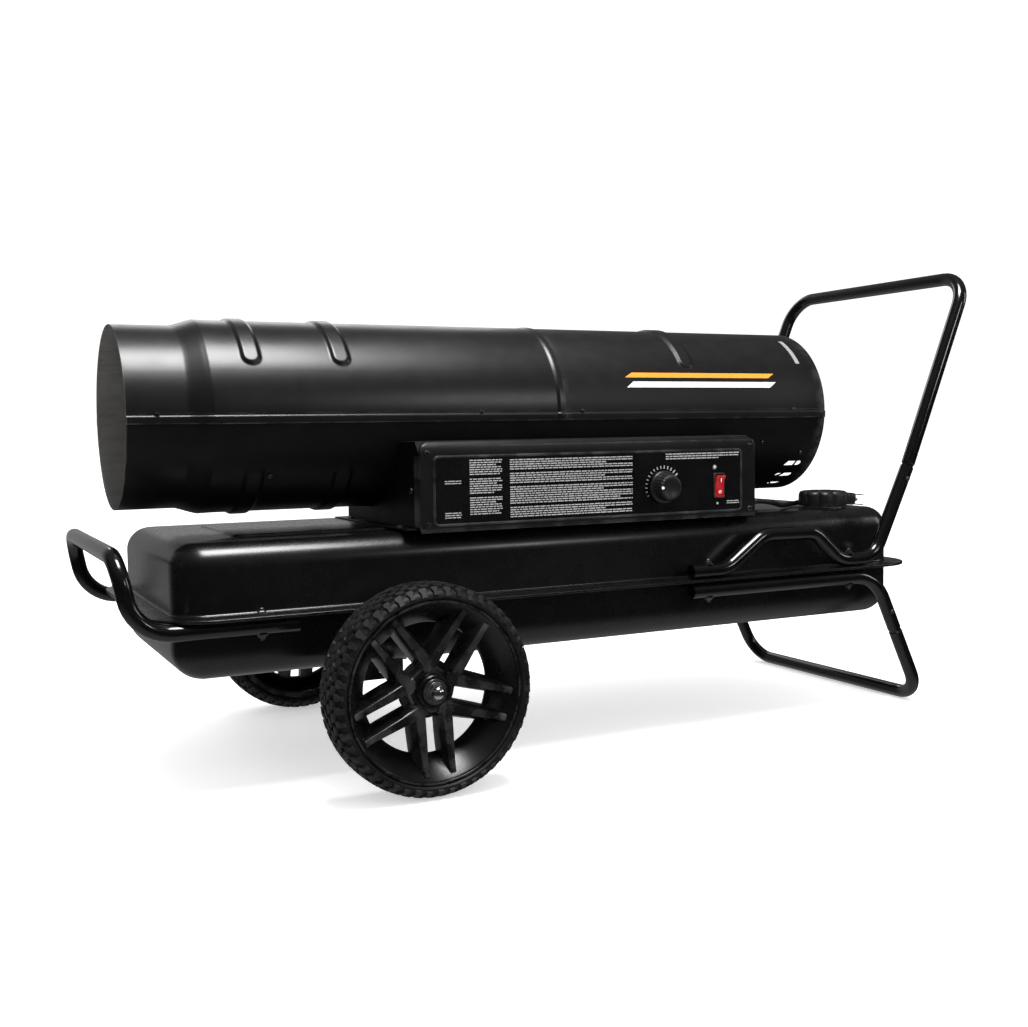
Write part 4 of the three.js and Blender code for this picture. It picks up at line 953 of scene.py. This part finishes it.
def make_housing():
    h, r = HOUSING, BARREL["radius"] + 0.6
    saddle = []
    for k in range(25):
        y = h["far"] - 1.5 + (COVER["face"] + COVER["lean"] + 2 - h["far"] + 1.5) * k / 24
        inside = r * r - y * y
        saddle.append((y, min(h["top"], BARREL["z"] - math.sqrt(inside)) if inside > 0 else h["top"]))
    outline = [(h["near"], h["bottom"]), (h["far"], h["bottom"])] + saddle + [(h["near"] + 0.3, COVER["bend"] - 1)]
    walls = Build().add(yz_extrude(outline, h["front"], h["rear"]), HOUSING_PAINT)
    walls.piece("housing_body", cad=["base_housing"], slot="barrel_paint", angle=30, bevel=1.0)
    y0, y1, z0, z1 = h["near"] + 4, h["far"] + 13, h["bottom"], h["bottom"] + 1.4
    foot = [(y0, z0), (y1, z0), (y1, z1), (y0, z1)]
    feet = Build().add(yz_extrude(foot, h["front"] - 12, h["rear"] + 10), HOUSING_PAINT)
    feet.piece("housing_foot", slot="barrel_paint", bevel=0.5)
    places = [((h["front"] - 6, y, h["bottom"] + 1.5), (0, 0, 1)) for y in (-110, 40)]
    places += [((x, h["far"] + 7, h["bottom"] + 1.5), (0, 0, 1)) for x in (-180, 0, 150)]
    places += [((h["front"], -128, 284), (-1, 0, 0)), ((h["rear"], -60, 262), (1, 0, 0))]
    fasteners("housing_screws", places, scale=0.9)


def cover_outline():
    """The cover's sheet as a thin (y, z) outline with rounded bends, from a hem below to a lip on top."""
    face, bottom, bend, top = (COVER[key] for key in ("face", "bottom", "bend", "top"))
    line = [(face + 3.0, bottom + 5.6), (face - 1.4, bottom + 5.9), (face, bottom + 9), (face, bend + 2),
            (face + 1.6, top - 6.5), (face + 5.4, top - 1.8), (face + COVER["lean"] + 0.8, top + 0.3),
            (face + COVER["lean"] + 8, top + 0.4)]
    dense = smooth_route([(0, y, z) for y, z in line], 5)
    points = [Vector((p.y, p.z)) for p in dense]
    offset = []
    for i, p in enumerate(points):
        t = (points[min(i + 1, len(points) - 1)] - points[max(i - 1, 0)]).normalized()
        offset.append(p + Vector((-t.y, t.x)) * COVER["thick"])
    return [tuple(p) for p in points] + [tuple(p) for p in offset[::-1]]


INK = 0.06  # thickness of the print
DIAL = dict(marks=15, first=205, step=12, radius=20.2)  # angles in degrees, growing marks run clockwise


def rulings(build, x0, x1, z_top, z_bottom, pitch, thick, dice):
    """Plain rulings in place of small print: dashes of uneven length on evenly spaced lines."""
    z, row = z_top, 0
    while z > z_bottom:
        row += 1
        x, end = x0, x1 - (dice.uniform(0, 0.3) * (x1 - x0) if row % 4 == 3 else 0)
        while x < end - 1:
            word = min(dice.uniform(2.2, 7.5), end - x)
            build.add(block(x, x + word, LABEL["face"] - INK, LABEL["face"], z - thick, z), PRINT_GREY)
            x += word + 0.9
        z -= pitch


def stepped(*levels):
    """Rings for loft from flat (x, z) outlines, each at its own y."""
    return [[(x, y, z) for x, z in outline] for outline, y in levels]


def make_panel():
    c, p, outline, corner = COVER, LABEL, cover_outline(), 13
    depths, near, far = (0, 0.4, 1.2, 2.4, 4, 6, 8.5, 11, corner), [], []
    for depth in depths:
        limit = c["top"] - corner + math.sqrt(corner ** 2 - (corner - depth) ** 2)
        ring = [(y, z) if z < limit else (min(y, c["face"] + 2.5 + depth), limit + (z - limit) * 0.02)
                for y, z in outline]
        near.append([(HOUSING["front"] + depth, y, z) for y, z in ring])
        far.insert(0, [(HOUSING["rear"] - depth, y, z) for y, z in ring])
    cover = Build().add(loft(near + far), COVER_PAINT)
    cover.piece("panel_cover", cad=["side_cover"], slot="barrel_paint", angle=40)
    cheeks = Build()
    y0, y1, z0, z1 = c["face"] + 0.2, c["face"] + 14, c["bottom"] + 8, c["bend"] - 0.5
    for x, low, high in ((HOUSING["front"], -0.6, 0.8), (HOUSING["rear"], -0.8, 0.6)):
        x0, x1 = x + low, x + high
        cheeks.add(yz_extrude([(y0, z0), (y0, z1), (y1, z1), (y1, z0)], x0, x1), COVER_PAINT)
    cheeks.piece("panel_cheeks", slot="barrel_paint", bevel=0.4)

    outer, ridge, inner = (
        rounded_outline(p["left"] - grow, p["right"] + grow, p["bottom"] - grow, p["top"] + grow, radius)
        for grow, radius in ((2.6, 6), (1.2, 4.8), (-0.4, 3.6)))
    back = p["back"]
    rings = stepped((outer, back + 0.5), (outer, back - 0.1), (ridge, back - 0.9), (inner, back - 0.4),
                    (inner, back + 0.5))
    frame_ring = Build().add(loft(rings, looped=True), COVER_PAINT)
    frame_ring.piece("panel_embossed_border", slot="barrel_paint", angle=30)

    edge = rounded_outline(p["left"], p["right"], p["bottom"], p["top"], 4.2)
    film = Build().add(loft(stepped((edge, p["back"]), (edge, p["face"]))), LABEL_FILM)
    film.piece("control_label", cad=["label_plate"], slot="label_film")

    dice = random.Random(7)
    ink = Build()
    blocks = [(-168.5, -132, z0, z1, 2.35, 1.05) for z0, z1 in ((314.5, 298.5), (295.5, 279.5), (276.5, 258.5))]
    blocks += [(-123, 25, z0, z1, 2.35, 1.1) for z0, z1 in ((314, 303), (300, 289), (286, 268), (265, 255))]
    blocks += [(-196, -178, 262, 257, 2.3, 1.0), (-196, -178, 294, 289.5, 2.3, 0.9)]
    blocks += [(68, 167, 315.5, 309, 2.6, 1.2), (150, 167, 261, 257.5, 2.3, 1.0)]
    for sizes in blocks:
        rulings(ink, *sizes, dice)
    ink.piece("label_print_rulings", slot="label_film", angle=30)

    to_panel = Matrix(((1, 0, 0, 0), (0, 0, -1, 0), (0, 1, 0, 0), (0, 0, 0, 1)))  # (x, z, outward) to (x, y, z)
    marks, mark_face = Build(), 0.03 - p["face"]
    for k in range(DIAL["marks"]):
        size, long = 0.5 + 0.09 * k, 2.2 + 0.12 * k
        turn = Matrix.Rotation(math.radians(DIAL["first"] - k * DIAL["step"]), 4, "Z")
        matrix = to_panel @ Matrix.Translation((KNOB["x"], KNOB["z"], mark_face)) @ turn
        marks.add(block(DIAL["radius"], DIAL["radius"] + long, -size / 2, size / 2, 0, INK), PRINT_GREY, matrix)
    dot = lathe([(0, 0), (0, 1.4), (INK, 1.4), (INK, 0)], 20)
    marks.add(dot, PRINT_GREY, to_panel @ Matrix.Translation((137, 258.5, mark_face)))
    marks.piece("dial_marks", slot="label_film", angle=30)

    corners = ((-214.5, 322), (-214.5, 250.5), (182, 322), (182, 250.8))
    places = [((x, COVER["face"] - COVER["thick"] + 0.2, z), (0, -1, 0)) for x, z in corners]
    fasteners("cover_screws", places, scale=0.85)


def make_controls():
    k, face = KNOB, LABEL["face"]
    build = Build()
    profile = [(0, 0), (0, 17.4), (0.8, 18), (2.4, 18), (3.8, 17), (4.6, 14.9), (13.5, 14.2), (15.6, 13.5),
               (16.6, 12.4), (16.9, 11), (16.2, 10), (15.9, 0)]
    verts, faces = lathe(profile, 144)
    fluted = []
    for x, y, z in verts:
        r, a = math.hypot(x, y), math.atan2(y, x)
        if 4.4 < z < 16.5 and r > 11.8:
            dip = 0.75 * smoothstep((z - 4.4) / 1.5) * (0.5 + 0.5 * math.cos(a * 24))
            x, y = x * (1 - dip / r), y * (1 - dip / r)
        fluted.append((x, y, z))
    at = axis_matrix((0, -1, 0), (k["x"], k["back"], k["z"]))
    build.add((fluted, faces), BLACK_PLASTIC, at)
    dot = Matrix.Translation((k["x"] - 11.4, k["face"] + 0.5, k["z"])) @ OUT_NEAR
    build.add(lathe([(0, 0), (0, 1.5), (0.5, 1.5), (0.8, 1.1), (0.8, 0)], 24), PRINT_WHITE, dot)
    build.piece("control_knob", body="knob", cad=["thermostat_knob"], slot="black_plastic", angle=45)

    s = SWITCH
    w, h = s["width"] / 2, s["height"] / 2
    rw, rh = s["rocker"][0] / 2 + 0.25, s["rocker"][1] / 2 + 0.4
    bezel = Build()
    out0, out1, in1, deep = (
        rounded_outline(s["x"] - wide, s["x"] + wide, s["z"] - high, s["z"] + high, radius)
        for wide, high, radius in ((w, h, 1.6), (w - 0.5, h - 0.5, 1.3), (rw, rh, 0.6), (w - 1.2, h - 1.2, 1)))
    rings = stepped((in1, face - 0.3), (out0, face - 0.3), (out0, face - 1.6), (out1, face - 2.2),
                    (in1, face - 2.0), (in1, face + 6), (deep, face + 6))
    bezel.add(loft(rings, looped=True), BLACK_PLASTIC)
    bezel.piece("switch_bezel", cad=["switch_frame"], slot="black_plastic", angle=30)

    half_w, half_h = s["rocker"][0] / 2, s["rocker"][1] / 2
    tilt = Matrix.Translation((s["x"], face - 1.2, s["z"])) @ Matrix.Rotation(math.radians(s["tilt"]), 4, "X")
    key = Build()
    heights = [1 - i / 6 for i in range(13)]
    outline = [(-3.4 + 2.1 * (1 - t * t), half_h * t) for t in heights] + [(4, -half_h + 1.2), (4, half_h - 1.2)]
    rings = []
    for x, shrink in ((-half_w, 0.5), (-half_w + 0.5, 0), (half_w - 0.5, 0), (half_w, 0.5)):
        rings.append([(x, y + (shrink if y < 0 else 0), z * (1 - shrink * 0.03)) for y, z in outline])
    key.add(loft(rings), RED_ROCKER, tilt)
    on_sign = Matrix.Translation((0, -3.16, 6.6)) @ Matrix.Rotation(math.radians(-6), 4, "X")
    key.add(block(-0.35, 0.35, 0, 0.25, -2.0, 2.0), PRINT_WHITE, tilt @ on_sign)
    off_sign = Matrix.Translation((0, -2.9, -6.8)) @ Matrix.Rotation(math.radians(6), 4, "X") @ OUT_NEAR
    key.add(lathe([(0, 1.15), (0, 1.75), (0.25, 1.75), (0.25, 1.15)], 24), PRINT_WHITE, tilt @ off_sign)
    key.piece("switch_rocker_key", body="switch_rocker", cad=["rocker"], slot="red_plastic", angle=35)

    lamp = Build()
    at = axis_matrix((0, -1, 0), (LAMP["x"], face + 0.1, LAMP["z"]))
    lamp.add(lathe([(-8, 0), (-8, 2.2), (0.3, 2.2), (1.0, 1.9), (1.5, 1.2), (1.7, 0)], 28), LENS, at)
    lamp.add(lathe([(0, 2.3), (0, 3.3), (0.5, 3.3), (0.8, 2.9), (0.8, 2.3)], 28), BLACK_PLASTIC, at)
    lamp.piece("status_lamp", cad=["indicator_lamp"], slot="lamp_lens")


make_housing()
make_panel()
make_controls()

# ---- fuel cap


def make_cap():
    low, high = CAP["bottom"], CAP["top"]
    rings = []
    levels = (  # height, radius, depth of the lobes
        (low + 14.8, 22.6, 0), (low + 0.6, 22.5, 0), (low, 26, 0), (low, 29.0, 0.3), (low + 1.2, 30.3, 0.6),
        (low + 5, 30.5, 1.0), (high - 5.5, 30.2, 1.0), (high - 2.4, 29.2, 1.0), (high - 0.8, 27.2, 0.9),
        (high - 0.1, 24.4, 0.7), (high - 0.3, 21.5, 0.35), (high - 1.8, 19.8, 0.1), (high - 2.2, 12, 0),
        (high - 2.0, 3, 0),
    )
    for z, radius, depth in levels:
        ring = []
        for i, (c, s) in enumerate(circle(180)):
            lobe = abs(math.cos(math.pi * i / 180 * CAP["lobes"])) ** 0.7
            r = radius - 3.4 * depth * (1 - lobe)
            ring.append((CAP["x"] + r * c, CAP["y"] + r * s, z))
        rings.append(ring)
    cap = Build().add(loft(rings), BLACK_PLASTIC)
    cap.piece("fuel_cap_grip", body="cap_grip", cad=["fuel_cap"], slot="black_plastic", angle=50)


make_cap()

# ---- rear guard


def ring_wire(radius, x, wire):
    return lathe([(x + wire * c, radius + wire * s) for c, s in circle(8)], 72)


def make_guard():
    guard = Build()
    centre = Matrix.Translation((0, 0, BARREL["z"]))
    for radius in (14, 24, 34, 44, 54, 64, 74, 84):
        guard.add(ring_wire(radius, 329.4, 1.1), TUBE_PAINT, centre @ X_AXIS)
    guard.add(ring_wire(94.2, 329.4, 1.7), TUBE_PAINT, centre @ X_AXIS)
    for k in range(6):
        a = math.radians(60 * k + 30)
        out = Vector((0, math.cos(a), math.sin(a)))
        stations = [Vector((331.8, 0, 0)) + out * r for r in (13, 40, 70, 94)]
        guard.add(swept_tube(stations, 1.3, 10), TUBE_PAINT, centre)
    guard.piece("inlet_guard", cad=["fan_guard"], slot="tube_paint", angle=50)


make_guard()

# ---- printed mark on the barrel


def barrel_band(build, x0, x1, low_angle, high_angle, skew, material, lift=0.12):
    """A thin stripe that follows the rear shell, with slanted ends."""
    steps, rows = 24, max(3, round((high_angle - low_angle) / 1.2))
    outer, inner = [], []
    for i in range(steps + 1):
        for k in range(rows + 1):
            angle = low_angle + (high_angle - low_angle) * k / rows
            x = x0 + (x1 - x0) * i / steps + skew * (0.5 - k / rows)
            a, r = math.radians(angle), barrel_radius(x, angle, True)
            for layer, height in ((outer, lift), (inner, -0.2)):
                reach = r + height
                layer.append((x, -reach * math.sin(a), BARREL["z"] + reach * math.cos(a)))
    add_shell(build, (outer, inner, steps + 1, rows + 1), material, material)


def make_mark():
    mark = Build()
    barrel_band(mark, 60, 262, 69.5, 73.5, 10, PRINT_WHITE)
    barrel_band(mark, 60, 262, 63, 66.5, 10, PRINT_ORANGE)
    mark.piece("barrel_stripes", slot="label_film", angle=50)
    rating = Build()
    barrel_band(rating, 308, 314, 28, 54, 0, PRINT_GREY)
    rating.piece("barrel_grey_strip", slot="label_film", angle=50)


make_mark()

# ---- finishes of the CAD pieces that stay

FINISHES = {
    "drain_plug": ZINC, "filler_neck": ZINC, "cap_gasket": CORD_RUBBER, "cap_retainer": ZINC,
    "combustion_chamber": HOT_STEEL, "chamber_baffle": HOT_STEEL, "burner_head": CAST, "nozzle": BRASS,
    "spark_plug": CERAMIC, "flame_sensor": BLACK_PLASTIC, "fan": CAST, "motor_shaft": ZINC, "motor": MOTOR_PAINT,
    "motor_bracket": ZINC, "pump_body": CAST, "pump_rotor": ZINC, "pump_cover": CAST, "relief_screw": BRASS,
    "air_line": COPPER, "thermostat_stem": ZINC, "thermostat": CREAM_PLASTIC, "circuit_board": BOARD,
    "ignition_transformer": BLACK_PLASTIC, "fuel_line": COPPER, "fuel_pickup": CREAM_PLASTIC, "axle": ZINC,
    "axle_bracket_left": TANK_PAINT, "axle_bracket_right": TANK_PAINT,
}
for node_name, finish in FINISHES.items():
    node = NODES[node_name]
    node.data.materials.clear()
    node.data.materials.append(finish)

# ---- stage


WHITE = (1, 1, 1)


def make_stage():
    mesh = bpy.data.meshes.new("floor")
    mesh.from_pydata([(-30, -30, 0), (30, -30, 0), (30, 30, 0), (-30, 30, 0)], [], [(0, 1, 2, 3)])
    floor = placed("floor", mesh)
    mat, n, shader = node_material("floor_pale")
    n.fill(shader, {"Base Color": (0.9, 0.9, 0.9), "Emission Color": WHITE, "Emission Strength": 0.45,
                    "Roughness": 0.9, "Specular IOR Level": 0.1})
    mesh.materials.append(mat)
    floor.visible_glossy = False

    world = bpy.data.worlds.new("studio")
    bpy.context.scene.world = world
    world.use_nodes = True
    n, back = Nodes(world.node_tree), world.node_tree.nodes["Background"]
    dim = n.new("ShaderNodeBackground")
    n.fill(back, {"Color": WHITE, "Strength": 1.12})
    direction = n.new("ShaderNodeSeparateXYZ")
    n.link(n.new("ShaderNodeTexCoord").outputs["Generated"], direction.inputs[0])
    ceiling = n.ranged(direction.outputs["Z"], 0.3, 0.9, 0.02, 0.16)
    ground = n.ranged(direction.outputs["Z"], -0.35, -0.75, 0, 0.34)
    wall = n.ranged(direction.outputs["Y"], 0.6, 0.9, 0, 0.3)
    n.fill(dim, {"Color": WHITE, "Strength": n.maths("ADD", n.maths("ADD", ceiling, ground), wall)})
    rays = n.new("ShaderNodeLightPath")
    mix = n.new("ShaderNodeMixShader")
    n.link(rays.outputs["Is Glossy Ray"], mix.inputs["Fac"])
    n.link(back.outputs[0], mix.inputs[1])
    n.link(dim.outputs[0], mix.inputs[2])
    n.link(mix.outputs[0], world.node_tree.nodes["World Output"].inputs["Surface"])

    def softbox(name, at, aim, width, height, power):
        data = bpy.data.lights.new(name, "AREA")
        data.shape = "RECTANGLE"
        data.size, data.size_y, data.energy = width, height, power
        light = placed(name, data)
        light.location = at
        light.rotation_mode = "QUATERNION"
        light.rotation_quaternion = (Vector(aim) - Vector(at)).to_track_quat("-Z", "Y")

    softbox("light_over", (-0.14, -0.55, 2.2), (-0.2, -0.15, 0.4), 0.75, 0.9, 52)
    softbox("light_front", (1.05, -2.3, 1.15), (0.05, 0, 0.36), 0.4, 0.35, 4.2)
    softbox("light_right", (2.6, -1.2, 1.2), (0.2, 0, 0.2), 0.4, 1.0, 7)
    softbox("light_behind", (0.3, 2.4, 1.6), (0, 0, 0.3), 1.8, 0.8, 10)


make_stage()
bpy.context.scene.view_settings.view_transform = "Standard"
